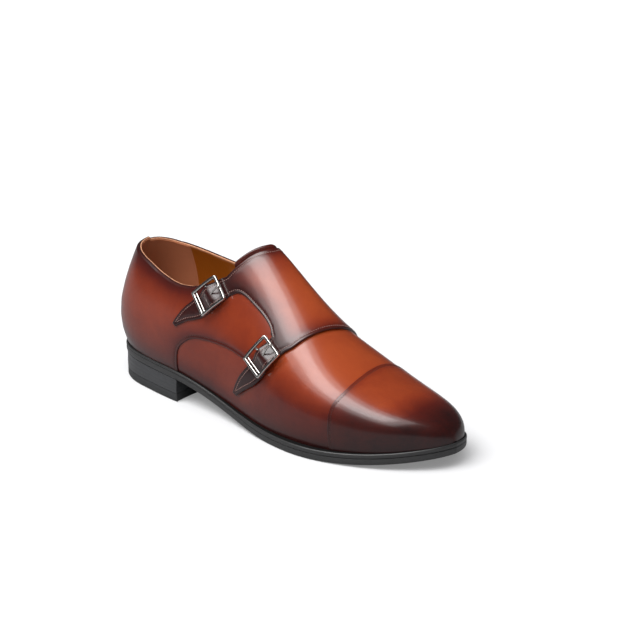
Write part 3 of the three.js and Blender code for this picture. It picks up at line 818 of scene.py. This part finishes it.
# Seam of the cap: side, share of the way from the feather edge to the ridge, distance from the heel back.
CAP_SEAM = (
    (-1, 0.0, 231.5), (-1, 0.12, 230.5), (-1, 0.23, 229.8), (-1, 0.33, 229.2), (-1, 0.42, 229.4),
    (-1, 0.49, 230.4), (-1, 0.6, 232), (-1, 0.71, 232.6), (-1, 0.83, 232.2), (-1, 0.95, 231),
    (1, 0.89, 229.6), (1, 0.7, 228.6), (1, 0.5, 229), (1, 0.3, 230.4), (1, 0.1, 231.6), (1, 0.0, 232),
)


def chart_from_share(side, v, x):
    """Station and girth of a share v from feather edge to ridge at x."""
    s = float(s_of_x(x))
    u = float(np.interp(s, chart_s, chart_u))
    k = int(round(u / LAST_END * NET_ALONG))
    share = float(np.interp(v, chart_share[side][k][::-1], chart_v[::-1]))
    return s, side * share * float(girth_of(side, s))


cap_seam = np.array([chart_from_share(*row) for row in CAP_SEAM])
CAP_STOP = 1.2
cap_end = LAST_S - CAP_STOP
cap_side_s = np.linspace(cap_seam[-1, 0], cap_end, 80)
cap_back_s = np.linspace(cap_end, cap_seam[0, 0], 80)
cap = Patch([
    (cap_seam, True),
    (np.stack([cap_side_s, girth_of(1, cap_side_s)], -1), False),
    (np.array([(cap_end, girth_of(1, cap_end)), (cap_end, -girth_of(-1, cap_end))]), False),
    (np.stack([cap_back_s, -girth_of(-1, cap_back_s)], -1), False),
], lambda s, a: 0.03 + 0 * s, CAP_THICK, stitched=(0,), step=0.7)


def cap_shade(s, a, d):
    seam = distance_to(np.stack([s, a], -1), cap.legs[0], closed=False)
    return layered(0.10 + 0 * s, body_burnish(s, a), fade(seam, 3.2, 0.5, 1.2))


cap.mesh("toe_cap", cognac_calf, "upper_leather", cap_shade, spacing=1.2)

# --- Tongue ---------------------------------------------------------------------------------------
# The tongue is a soft panel under the flap, sewn to the vamp in front and free at the top, where its
# stitched and dyed edge stands a few millimetres above the throat.

# Outline: distance from the heel back and girth from the ridge, outer side negative.
TONGUE_OUTLINE = (
    (131.6, 0), (129.5, -5), (124.6, -13.5), (120, -21.5), (117.5, -27), (121, -31), (135, -31.5),
    (160, -31), (185, -29), (205, -20), (213, 3), (205, 26), (185, 33), (150, 27), (131, 22), (130.5, 13),
    (132.3, 5),
)
TONGUE_THICK = 1.5
THROAT_EDGE = np.array([
    (135.4, 8), (135.9, 2), (134.3, -4.5), (128, -15), (122.6, -24.7), (118.5, -31.7), (115, -38),
])
throat_edge = np.array([(float(s_of_x(x)), a) for x, a in THROAT_EDGE])


def tongue_under(s, a):
    """The tongue lies below the lining and turns up to the flap's level where it leaves the throat."""
    chart = np.stack([np.ravel(s), np.ravel(a)], -1)
    path = evenly(throat_edge, 1.0)
    gap = distance_to(chart, path, closed=False).reshape(np.shape(s))
    behind = s < np.interp(-a, -path[:, 1], path[:, 0])
    beyond = np.where(behind, gap, -gap)
    outside = 1 - smooth((a - 3) / 7)
    return -3.7 + 3.3 * smooth((beyond + 1.2) / 4) * outside


tongue_ring = np.array([(float(s_of_x(x)), a) for x, a in TONGUE_OUTLINE])
tongue = Patch([(np.concatenate([tongue_ring, tongue_ring[:1]]), True)], tongue_under, TONGUE_THICK,
               stitched=(0,))
tongue_leather = leather("tongue_calf", COGNAC, 0.25, 800.0, 0.12, 0.6, 0.2)
tongue_piece = tongue.mesh("tongue_panel", tongue_leather, "tongue_leather",
                           lambda s, a, d: layered(0.42 + 0 * s, fade(d, 3.0, 0.8, 1.2)), spacing=1.8)
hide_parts("tongue")

# --- Flap and straps ------------------------------------------------------------------------------
# One large panel is the inner quarter, runs over the instep and splits on the outer side into two
# straps. Its free edges are cut, dyed dark and stitched all round, and each strap bends over a buckle bar.

FLAP_THICK = 1.4
FLAP_LEAN = 50.0
# Lines on the outer side: distance, and level across the foot's slope, which leans by FLAP_LEAN.
THROAT_LINE = (
    (75.5, 20.9), (84.1, 32), (94.7, 41.7), (109.9, 57), (115.5, 60.7), (119.1, 66.6), (123.2, 72.8),
    (128.9, 81.6), (135.4, 90),
)
CUTOUT_LINE = (
    (138.5, -7.5), (145, 3.5), (153.5, 13.3), (164.7, 31.7), (164.7, 34.7), (163.3, 37.7), (158.3, 42.3),
    (151.3, 46.3), (142.8, 50), (135.2, 52.8), (128.6, 52.9), (124.1, 50.3), (120.9, 47.3), (105.7, 32.1),
    (91, 25.5), (78.6, 19.3),
)
LOWER_LINE = (
    (197.3, 63.4), (195.9, 58.2), (193.4, 52.2), (190.4, 45.2), (186.9, 37.9), (183.3, 31.2), (177.7, 24.5),
    (166.5, 6.1), (154.5, -2.8), (142.5, -8.9),
)
# Front edge on the inner side: distance and height.
INNER_FRONT = ((168, 12), (174, 28), (181, 42), (188, 56), (194, 68))

# Buckles: centre, direction of the bars, direction of the strap, outward direction.
BUCKLES = {
    "upper": tuple(Vector(v) for v in ((107.8, -33.6, 86.1), (.724, -.204, -.659), (-.688, -.279, -.67),
                                       (.047, -.938, .343))),
    "lower": tuple(Vector(v) for v in ((165.7, -40.2, 58.1), (.856, -.132, -.5), (-.51, -.373, -.775),
                                       (.085, -.918, .387))),
}
STRAP_RISE, RISE_HALF, RISE_WIDE, RISE_DEEP = 3.5, 9.6, 8.6, 10.0


def flap_under(s, a):
    """Underside of the flap: on the vamp inside, over the quarter outside, turned in at the topline."""
    base = 0.06 + 0.94 * smooth((14 - a) / 22)
    below = np.abs(a) - topline_girth(1, s)
    turned = (1 - smooth((below - 0.9) / 0.9)) * smooth((a - 2) / 8) * (s < s_of_x(THROAT))
    return base - turned * (base + TURNED_EDGE)


def bar_rise(s, a):
    """The straps bend up over the centre bars of the buckles."""
    point, _ = on_last(s, a, 1.5)
    rise = np.zeros(np.shape(point)[:-1])
    for centre, bars, strap, out in BUCKLES.values():
        away = point - np.array(centre)
        p, q = away @ np.array(bars), away @ np.array(strap)
        near = (np.abs(p) < RISE_WIDE) & (np.abs(q) < RISE_HALF) & (np.abs(away @ np.array(out)) < RISE_DEEP)
        crown = 1 - 0.12 * (p / 7.5) ** 2
        rise = rise + near * STRAP_RISE * np.cos(math.pi * q / (2 * RISE_HALF)) ** 2 * crown
    return rise


def outer_line(points):
    """Chart line on the outer side from distances and levels."""
    points = np.array(points, float)
    return chart_of(points[:, 0], points[:, 1], FLAP_LEAN, -1, 2.2)


throat = outer_line(THROAT_LINE)
cutout = outer_line(CUTOUT_LINE)
lower = outer_line(LOWER_LINE)
inner_front = chart_of(np.array(INNER_FRONT)[:, 0], np.array(INNER_FRONT)[:, 1], 90, 1, 1.4)
foot_s = float(s_of_x(166.0))
inner_foot = np.array([(foot_s, float(girth_of(1, foot_s)))])
inner_feather_s = np.linspace(0, foot_s, 150)
inner_top_s = np.linspace(0, float(s_of_x(131.5)), 150)
inner_top = np.stack([inner_top_s, topline_girth(1, inner_top_s)], -1)
crest_s = float(s_of_x(135.6))
bend = np.array([inner_top[-1], (crest_s - 1.1, 6.8), (crest_s, 1.0), throat[-1]])
flap = Patch([
    (np.concatenate([inner_foot, inner_front, lower]), True),
    (np.array([lower[-1], cutout[0]]), False),
    (cutout, True),
    (np.array([cutout[-1], throat[0]]), False),
    (np.concatenate([throat, bend[2:0:-1], inner_top[::-12][:2]]), True),
    (inner_top[:inner_top.shape[0] - 12][::-1], False),
    (np.array([inner_top[0], (0.0, girth_of(1, 0.0))]), False),
    (np.stack([inner_feather_s, girth_of(1, inner_feather_s)], -1), False),
], flap_under, FLAP_THICK, bar_rise, stitched=(0, 2, 4))


def flap_shade(s, a, d):
    """Near black on the straps and free edges, cognac over the instep."""
    chart = np.stack([s, a], -1)
    front, cut, top = (distance_to(chart, flap.legs[k], closed=False) for k in (0, 2, 4))
    sewn = np.minimum(cut, top)
    full = np.where(a > 0, girth_of(1, s), girth_of(-1, s))
    straps = 0.90 * smooth((-a - 20) / 24)
    collar = np.where((a > 0) & (s < s_of_x(131.0)), np.abs(a) - topline_girth(1, s), 99)
    inner_low = 0.45 * smooth((a / full - 0.35) / 0.5)
    return layered(0.10 + 0 * s, fade(sewn, 9, 0.82, 1.2), fade(front, 6, 0.88, 1.1), straps, inner_low,
                   fade(s, 13, 0.85, 1.3), fade(collar, 8, 0.85, 1.2), fade(full - np.abs(a), 9, 0.85, 1.4))


flap_piece = flap.mesh("strap_flap_panel", leather("flap_calf", COGNAC, 0.30, 900.0, 0.10, 0.8, 0.17),
                       "flap_leather", flap_shade, spacing=1.4)
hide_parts("strap_flap")

# --- Stitching ------------------------------------------------------------------------------------
# Waxed thread, two strands locked through each hole, sewn by machine along every free edge a little
# over two millimetres in. The stitches are even and lie in a shallow trench.


def waxed_thread(name, hollow, crown):
    """Two-ply thread: a twist shown by colour and a fine bump."""
    material, tree, surface = new_material(name)
    ply = add(tree, "ShaderNodeTexWave", {"Scale": 900.0, "Distortion": 1.0}, {"Vector": object_place(tree)})
    tone = add(tree, "ShaderNodeMix", {"data_type": "RGBA", 6: (*hollow, 1), 7: (*crown, 1)},
               {0: ply.outputs["Fac"]})
    tree.links.new(tone.outputs[2], surface.inputs["Base Color"])
    strand = add(tree, "ShaderNodeBump", {"Distance": 0.00005, "Strength": 0.6},
                 {"Height": ply.outputs["Fac"]})
    tree.links.new(strand.outputs[0], surface.inputs["Normal"])
    surface.inputs["Roughness"].default_value = 0.5
    return material


pale_thread = waxed_thread("rose_thread", (0.16, 0.075, 0.06), (0.36, 0.21, 0.18))
dark_thread = waxed_thread("burgundy_thread", (0.020, 0.006, 0.005), (0.060, 0.020, 0.016))
stitch_mesh("flap_stitches", pale_thread, [flap.stitch_points()])
stitch_mesh("panel_stitches", dark_thread, [panel.stitch_points() for panel in (quarter, cap, tongue)], 0.22)

# --- Buckles --------------------------------------------------------------------------------------
# Each buckle is a cast and polished nickel frame of flat rounded wire, a little arched, with a centre
# bar that the strap bends over. The prong loops round the bar and lies over the far side of the frame.

nickel, tree, metal = new_material("polished_nickel")
metal.inputs["Metallic"].default_value = 1.0
metal.inputs["Base Color"].default_value = (0.72, 0.70, 0.67, 1)
wear = add(tree, "ShaderNodeTexNoise", {"Scale": 900.0, "Detail": 4.0}, {"Vector": object_place(tree)})
worn = add(tree, "ShaderNodeMapRange", {1: 0.3, 2: 0.7, 3: 0.10, 4: 0.22}, {0: wear.outputs["Fac"]})
tree.links.new(worn.outputs[0], metal.inputs["Roughness"])
dent = add(tree, "ShaderNodeBump", {"Distance": 0.00003, "Strength": 0.12}, {"Height": wear.outputs["Fac"]})
tree.links.new(dent.outputs[0], metal.inputs["Normal"])

FRAME_WIDE, FRAME_LONG, FRAME_BAR, FRAME_DEEP, FRAME_CORNER = 20.0, 24.0, 2.1, 2.1, 1.7
ARCH, WIRE_ROUNDING = 1.1, 0.62
BAR_DROP, BAR_RADIUS, SECOND_BAR_RADIUS, PRONG_RADIUS = 1.6, 0.9, 0.55, 0.6
# The prong's run from under the bar, round it and over the far side of the frame: across, along, out.
PRONG_PATH = (
    (0, 0.6, -2.55), (0, 1.05, -1.7), (0, 0.6, -0.75), (0, -0.9, -0.35), (0, -4.5, 1.0), (0, -9.0, 2.3),
    (0, -11.3, 2.4), (0, -12.5, 1.8),
)


def tube(path, radii, turns=16, up=(0, 0, 1)):
    """Rounded rod through a list of points, closed at both ends with small domes."""
    path = np.asarray(path, float)
    along = unit(np.gradient(path, axis=0))
    across = unit(np.cross(along, np.asarray(up, float)))
    out = np.cross(across, along)
    t = np.linspace(0, 2 * math.pi, turns + 1)[:-1]
    spokes = across[:, None] * np.cos(t)[:, None] + out[:, None] * np.sin(t)[:, None]
    ring = radii[:, None, None] * spokes
    points = (path[:, None] + ring).reshape(-1, 3)
    last = len(path) * turns
    faces = grid_faces(len(path), turns, loop_cols=True, flip=True).tolist()
    faces += [list(range(turns)), list(range(last - turns, last))[::-1]]
    return points, faces


def rod(points, radius, step=0.5, **kwargs):
    """A tube of one radius through a few points, with rounded ends."""
    line = evenly(points, step)
    run = run_along(line)
    ends = np.minimum(run, run[-1] - run) / radius
    radii = radius * np.sqrt(np.clip(1 - (1 - np.clip(ends, 0.05, 1)) ** 2, 0.05, 1))
    return tube(line, radii, **kwargs)


def rounded_corners(wide, long, corner, count):
    """Points of a rectangle's four rounded corners, anticlockwise."""
    ring = []
    for k, (cx, cy) in enumerate(((1, 1), (-1, 1), (-1, -1), (1, -1))):
        for t in np.linspace(0, math.pi / 2, count):
            angle = k * math.pi / 2 + t
            ring.append((cx * (wide / 2 - corner) + corner * math.cos(angle),
                         cy * (long / 2 - corner) + corner * math.sin(angle)))
    return np.array(ring)


def rounded_rectangle(wide, long, corner):
    """Outline of a rounded rectangle with points along its sides, anticlockwise."""
    ring = rounded_corners(wide, long, corner, 12)
    out = []
    for p, q in zip(ring, np.roll(ring, -1, axis=0)):
        parts = max(1, int(np.linalg.norm(q - p) / 0.8))
        out.extend(p + (q - p) * k / parts for k in range(parts))
    return np.array(out)


def frame_mesh():
    """The frame: a rounded flat section swept round a rounded rectangle, arched along the strap."""
    section = rounded_corners(FRAME_BAR, FRAME_DEEP, WIRE_ROUNDING, 6)
    outer = rounded_rectangle(FRAME_WIDE, FRAME_LONG, FRAME_CORNER)
    along = unit(np.roll(outer, -1, axis=0) - np.roll(outer, 1, axis=0))
    outward = np.stack([along[:, 1], -along[:, 0]], -1)
    centre = outer - outward * FRAME_BAR / 2
    flat = centre[:, None] + outward[:, None] * section[None, :, :1]
    arch = ARCH * (1 - (2 * flat[..., 1] / FRAME_LONG) ** 2) * smooth((np.abs(flat[..., 0]) - 6.5) / 2.0)
    rise = section[None, :, 1] + arch
    points = np.concatenate([flat, rise[..., None]], -1).reshape(-1, 3)
    return points, grid_faces(len(outer), len(section), loop_rows=True, loop_cols=True).tolist()


def joined(parts):
    """Several meshes as one."""
    points, faces, start = [], [], 0
    for some, rings in parts:
        points.append(some)
        faces.extend([[i + start for i in ring] for ring in rings])
        start += len(some)
    return np.concatenate(points), faces


for label, (centre, bars, strap, out) in BUCKLES.items():
    out = out.normalized()
    strap = (strap - out * strap.dot(out)).normalized()
    axes = np.array([-bars.normalized(), strap, out])
    side = FRAME_WIDE / 2 - FRAME_BAR * 0.6
    bar_path = [(-side, 0, -BAR_DROP * 0.4), (-side + 1.6, 0, -BAR_DROP), (0, 0, -BAR_DROP),
                (side - 1.6, 0, -BAR_DROP), (side, 0, -BAR_DROP * 0.4)]
    # The heel side of the frame carries a second fine bar, so it reads as a double line.
    half_long = FRAME_LONG / 2 - FRAME_BAR * 1.65
    second_path = [(x, half_long, -0.3) for x in (-side, 0, side)]
    body = joined([frame_mesh(), rod(bar_path, BAR_RADIUS), rod(second_path, SECOND_BAR_RADIUS)])
    prong = rod(PRONG_PATH, PRONG_RADIUS, 0.35, up=(1, 0, 0))
    for part, (points, faces), node in (("frame", body, "_buckle"), ("prong", prong, "_prong")):
        piece = make_piece(label + "_buckle_" + part, points @ axes + np.array(centre), faces, nickel,
                           None, 60)
        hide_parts(label + node)

# --- Insole sock ----------------------------------------------------------------------------------
# A thin leather sock covers the insole inside the shoe. It is cut to the sole's shape inside the lining
# and glued down on the cork and the leather insole board.

MID_LINE_REACH = (22, 262)
SOCK_INSET, SLAB_SMOOTH = 5.4, 35


def sole_ring(inset):
    """Outline of the sole pushed in, evenly spaced, anticlockwise from the heel back; x, y and outward."""
    row = sole_row(np.linspace(0, SOLE_END, 1200))
    outer = np.stack([row[:, 0], row[:, 1] - row[:, 2]], -1)
    inner = np.stack([row[:, 0], row[:, 1] + row[:, 3]], -1)[::-1][1:-1]
    ring = np.concatenate([outer, inner])
    ring = evenly(np.concatenate([ring, ring[:1]]), 0.8, False)[:-1]
    along = unit(np.roll(ring, -2, axis=0) - np.roll(ring, 2, axis=0))
    outward = np.stack([along[:, 1], -along[:, 0]], -1)
    return ring - outward * inset, outward


def ring_sheet(ring, height, rows=9):
    """Points shrinking from a ring to its mid line, with heights from a function of x and y."""
    mid_line = np.interp(ring[:, 0], SOLE_ROWS[:, 0], SOLE_ROWS[:, 1])
    middle = np.stack([np.clip(ring[:, 0], *MID_LINE_REACH), mid_line], -1)
    layers = []
    for t in np.linspace(0, 1, rows + 1)[1:]:
        flat = ring + (middle - ring) * t
        layers.append(np.concatenate([flat, height(flat[:, 0], flat[:, 1])[:, None]], -1))
    return layers


def swept(ring, outward, profile, top, under):
    """Rings of a slab's edge, from a profile of insets and shares of the height."""
    layers = []
    for inset, share in profile:
        flat = ring - outward * inset
        low, high = under(flat[:, 0], flat[:, 1]), top(flat[:, 0], flat[:, 1])
        layers.append(np.concatenate([flat, (low + (high - low) * share)[:, None]], -1))
    return layers


def slab(name, ring, outward, profile, top, under, material, rows=9):
    """A closed slab: the ring swept with an edge profile, and filled above and below."""
    layers = swept(ring, outward, profile, top, under)
    low_ring, high_ring = layers[0][:, :2], layers[-1][:, :2]
    layers = ring_sheet(low_ring, under, rows)[::-1] + layers + ring_sheet(high_ring, top, rows)
    points = np.stack(layers)
    count = len(ring)
    faces = grid_faces(len(layers), count, loop_cols=True, flip=True).tolist()
    points, faces, _ = merged(points.reshape(-1, 3), faces, {})
    return make_piece(name, points, faces, material, None, SLAB_SMOOTH)


ring, outward = sole_ring(SOCK_INSET)
sock = slab("insole_sock", ring, outward, ((0.5, 0.0), (0.1, 0.3), (0, 0.5), (0.1, 0.7), (0.5, 1.0)),
            lambda x, y: sole_top(x) + 3.0 + 0.00035 * (y - 2) ** 2, lambda x, y: sole_top(x) + 0.6 + 0 * y,
            tan_sock)
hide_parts("insole")

# --- Welt and outsole -----------------------------------------------------------------------------
# The welt and the outsole are leather strips and board, stitched together round the edge, trimmed,
# rounded with a rasp, dyed black and burnished with wax, with a thin bevelled lip at the top.

def black_wax(name, base, roughness, coat, streak):
    """Black edge dye and wax: faint streaks along the edge and a soft sheen."""
    material, tree, surface = new_material(name)
    where = object_place(tree)
    flat = add(tree, "ShaderNodeMapping", {"Scale": (60.0, 60.0, 900.0)}, {"Vector": where})
    lines = add(tree, "ShaderNodeTexNoise", {"Scale": 1.0, "Detail": 4.0}, {"Vector": flat.outputs[0]})
    spots = add(tree, "ShaderNodeTexNoise", {"Scale": 420.0, "Detail": 5.0}, {"Vector": where})
    both = maths(tree, "MULTIPLY", lines.outputs["Fac"], spots.outputs["Fac"])
    tone = add(tree, "ShaderNodeMix", {"data_type": "RGBA", 6: (*base, 1), 7: (*(2.0 * c for c in base), 1)},
               {0: both})
    tree.links.new(tone.outputs[2], surface.inputs["Base Color"])
    rough = add(tree, "ShaderNodeMapRange", {1: 0.3, 2: 0.7, 3: roughness - 0.05, 4: roughness + 0.08},
                {0: lines.outputs["Fac"]})
    tree.links.new(rough.outputs[0], surface.inputs["Roughness"])
    bump = add(tree, "ShaderNodeBump", {"Distance": 0.00012, "Strength": streak},
               {"Height": lines.outputs["Fac"]})
    tree.links.new(bump.outputs[0], surface.inputs["Normal"])
    surface.inputs["Coat Weight"].default_value = coat
    surface.inputs["Coat Roughness"].default_value = 0.25
    return material


sole_black = black_wax("black_sole_edge", (0.022, 0.022, 0.022), 0.42, 0.35, 0.10)
heel_black = black_wax("black_heel_edge", (0.030, 0.031, 0.033), 0.42, 0.30, 0.06)
rubber = black_wax("black_rubber", (0.026, 0.027, 0.028), 0.55, 0.0, 0.15)
WELT_BOTTOM, GAP_SHADOW_RISE = 5.0, 0.09
# Insets and shares of the height; the shallow dip at 2.1 to 3.3 mm is the channel of the welt's seam.
WELT_PROFILE = (
    (13.0, 0.0), (0.5, 0.0), (0.12, 0.03), (0.0, 0.15), (0.0, 0.55), (0.12, 0.82), (0.4, 0.95), (0.85, 1.0),
    (2.1, 1.0), (2.5, 0.93), (2.9, 0.93), (3.3, 1.0), (13.0, 1.0),
)
# Insets and rise of the strip of painted shadow on the welt's top.
GAP_SHADOW_PROFILE = ((1.0, 0.0), (1.1, GAP_SHADOW_RISE), (7.5, GAP_SHADOW_RISE), (7.6, 0.0))


def loop_strip(name, ring, outward, path, material):
    """A strip right round the sole, swept from pairs of an inset and heights."""
    layers = [np.concatenate([ring - outward * inset, height[:, None]], -1) for inset, height in path]
    faces = grid_faces(len(layers), len(ring), loop_rows=True, loop_cols=True, flip=True).tolist()
    return make_piece(name, np.stack(layers).reshape(-1, 3), faces, material)


ring, outward = sole_ring(0.0)
on_top = sole_top(ring[:, 0]) - 0.05
low = sole_under(ring[:, 0]) + WELT_BOTTOM
welt = loop_strip("stitched_welt", ring, outward,
                  [(inset, low + (on_top - low) * share) for inset, share in WELT_PROFILE], sole_black)
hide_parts("welt")

# A matt near-black strip on the welt's top, where the upper meets the welt, is painted shadow of the gap
# between them.
gap_shadow_paint = black_wax("painted_gap_shadow", (0.004, 0.004, 0.004), 0.8, 0.0, 0.2)
gap_shadow_paint.node_tree.nodes["Principled BSDF"].inputs["Specular IOR Level"].default_value = 0.15
loop_strip("welt_gap_shadow", ring, outward, [(inset, on_top + rise) for inset, rise in GAP_SHADOW_PROFILE], gap_shadow_paint)

ring, outward = sole_ring(0.12)
outsole = slab("leather_outsole", ring, outward,
               ((1.3, 0.0), (0.7, 0.05), (0.25, 0.18), (0.04, 0.4), (0.0, 0.6), (0.0, 0.9), (0.1, 0.97),
                (0.4, 1.0)),
               lambda x, y: sole_under(x) + WELT_BOTTOM - 0.25, lambda x, y: sole_under(x),
               sole_black, rows=14)
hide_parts("outsole")

# --- Heel -----------------------------------------------------------------------------------------
# The heel is a stack of leather lifts, glued and nailed, shaped with the sole edge and dyed black. Its
# front is cut square, a little hollow, and a rubber top lift takes the wear.

HEEL_FRONT, LIFT_TOP, BREAST_HOLLOW = 78.0, 6.1, 3.0
HEEL_CENTRE = (38.0, -1.0)


def heel_ring(inset):
    """The sole outline behind the heel breast, closed across it with a shallow hollow curve."""
    ring, outward = sole_ring(inset)
    keep = ring[:, 0] < HEEL_FRONT
    start = int(np.argmax(~keep))
    order = np.roll(np.arange(len(ring)), -start)
    order = order[keep[order]]
    walk, out = ring[order], outward[order]
    a, b = walk[-1], walk[0]
    t = np.linspace(0, 1, 60)[1:-1]
    across = a + (b - a) * t[:, None] - np.stack([BREAST_HOLLOW * np.sin(math.pi * t), 0 * t], -1)
    facing = np.tile(np.array([[1.0, 0.0]]), (len(t), 1))
    return np.concatenate([walk, across]), np.concatenate([out, facing])


def heel_slab(name, inset, profile, top, under, material):
    """A closed slab of the heel, filled towards the middle above and below."""
    ring, outward = heel_ring(inset)
    layers = swept(ring, outward, profile, top, under)
    centre = np.array(HEEL_CENTRE)
    for index, above, height in ((0, False, under), (-1, True, top)):
        rim = layers[index][:, :2]
        inner = []
        for t in np.linspace(0, 0.985, 9)[1:]:
            flat = rim + (centre - rim) * t
            inner.append(np.concatenate([flat, height(flat[:, 0], flat[:, 1])[:, None]], -1))
        layers = layers + inner if above else inner[::-1] + layers
    count = len(ring)
    points = np.stack(layers).reshape(-1, 3)
    faces = grid_faces(len(layers), count, loop_cols=True, flip=True).tolist()
    faces += [list(range(count)), list(range(len(points) - count, len(points)))[::-1]]
    return make_piece(name, points, faces, material, None, SLAB_SMOOTH)


LIFTS = 4
stack_profile = [(0.5, 0.0), (0.1, 0.02)]
for k in range(1, LIFTS):
    stack_profile += [(0.0, k / LIFTS - 0.02), (0.05, k / LIFTS), (0.0, k / LIFTS + 0.02)]
stack_profile += [(0.0, 0.98), (0.3, 1.0)]
stack = heel_slab("leather_heel_stack", 0.9, stack_profile, lambda x, y: sole_under(x) - 0.05,
                  lambda x, y: LIFT_TOP + 0.15 + 0 * x, heel_black)
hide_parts("heel_stack")
lift = heel_slab("rubber_top_lift", 1.1, ((0.9, 0.0), (0.3, 0.04), (0.0, 0.14), (0.0, 0.9), (0.25, 1.0)),
                 lambda x, y: LIFT_TOP + 0 * x, lambda x, y: 0 * x, rubber)
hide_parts("top_lift")

# --- Studio ---------------------------------------------------------------------------------------
# A plain white floor, a long overhead softbox and gentle fill, with a long lens from the outer front.

FLOOR_HALF = 8
studio_floor = bpy.data.meshes.new("floor")
corners = [(x * FLOOR_HALF, y * FLOOR_HALF, 0) for x, y in ((-1, -1), (1, -1), (1, 1), (-1, 1))]
studio_floor.from_pydata(corners, [], [(0, 1, 2, 3)])
floor = bpy.data.objects.new("floor", studio_floor)
bpy.context.scene.collection.objects.link(floor)
white_floor, tree, paint = new_material("white_floor")
ray = add(tree, "ShaderNodeLightPath")
tone = add(tree, "ShaderNodeMix",
           {"data_type": "RGBA", 6: (0.60, 0.60, 0.605, 1), 7: (0.26, 0.26, 0.265, 1)},
           {0: ray.outputs["Is Glossy Ray"]})
tree.links.new(tone.outputs[2], paint.inputs["Base Color"])
paint.inputs["Roughness"].default_value = 0.9
reach = add(tree, "ShaderNodeVectorMath", {"operation": "LENGTH"}, {0: object_place(tree)})
glow = add(tree, "ShaderNodeMapRange", {1: 0.25, 2: 1.1, 3: 0.22, 4: 1.0}, {0: reach.outputs["Value"]})
seen_glow = maths(tree, "MULTIPLY", glow.outputs[0], ray.outputs["Is Camera Ray"])
paint.inputs["Emission Color"].default_value = (1, 1, 1, 1)
tree.links.new(seen_glow, paint.inputs["Emission Strength"])
paint.inputs["Specular IOR Level"].default_value = 0.0
studio_floor.materials.append(white_floor)

world = bpy.data.worlds.new("studio")
bpy.context.scene.world = world
world.use_nodes = True
sky = world.node_tree
backdrop = sky.nodes["Background"]
seen = add(sky, "ShaderNodeLightPath")
fill = add(sky, "ShaderNodeMix", {"data_type": "RGBA", 6: (0.30, 0.30, 0.31, 1), 7: (0.05, 0.048, 0.05, 1)},
           {0: seen.outputs["Is Glossy Ray"]})
tone = add(sky, "ShaderNodeMix", {"data_type": "RGBA", 7: (1, 1, 1, 1)},
           {0: seen.outputs["Is Camera Ray"], 6: fill.outputs[2]})
sky.links.new(tone.outputs[2], backdrop.inputs["Color"])

AIM = Vector((0.0, 0.0, 0.05))


def softbox(name, towards, distance, size, size_y, power):
    """A rectangular light in a direction from the aim, facing it."""
    lamp = bpy.data.lights.new(name, "AREA")
    lamp.shape = "RECTANGLE"
    lamp.size, lamp.size_y, lamp.energy = size, size_y, power
    holder = bpy.data.objects.new(name, lamp)
    bpy.context.scene.collection.objects.link(holder)
    holder.location = AIM + Vector(towards).normalized() * distance
    holder.rotation_euler = (AIM - holder.location).to_track_quat("-Z", "Y").to_euler()
    holder.visible_camera = False


softbox("softbox_core", (-0.05, -0.62, 1.0), 1.8, 1.35, 0.8, 17)
softbox("softbox_spill", (-0.05, -0.60, 1.0), 1.85, 2.4, 1.6, 30)

sun = bpy.data.lights.new("ceiling_bounce", "SUN")
sun.energy, sun.angle = 0.8, math.radians(100)
ceiling = bpy.data.objects.new("ceiling_bounce", sun)
bpy.context.scene.collection.objects.link(ceiling)
ceiling.visible_glossy = False

AZIMUTH, ELEVATION, DISTANCE = math.radians(44.24), math.radians(20.0), 2.6
AIM_RIGHT, AIM_UP = 0.0231, 0.01906
right = Vector((math.cos(AZIMUTH), math.sin(AZIMUTH), 0))
level = math.cos(ELEVATION)
back = Vector((math.sin(AZIMUTH) * level, -math.cos(AZIMUTH) * level, math.sin(ELEVATION)))
up = back.cross(right)
look_at = Vector(place((TOE_TIP / 2, 0.0, 50.0))) + right * AIM_RIGHT + up * AIM_UP
camera = bpy.data.objects.new("camera", bpy.data.cameras.new("camera"))
bpy.context.scene.collection.objects.link(camera)
camera.location = look_at + back * DISTANCE
camera.rotation_euler = Matrix((right, up, back)).transposed().to_euler()
camera.data.sensor_width = 36.0
camera.data.lens = 211.5
camera.data.clip_end = 50
bpy.context.scene.camera = camera
bpy.context.scene.view_settings.view_transform = "Standard"
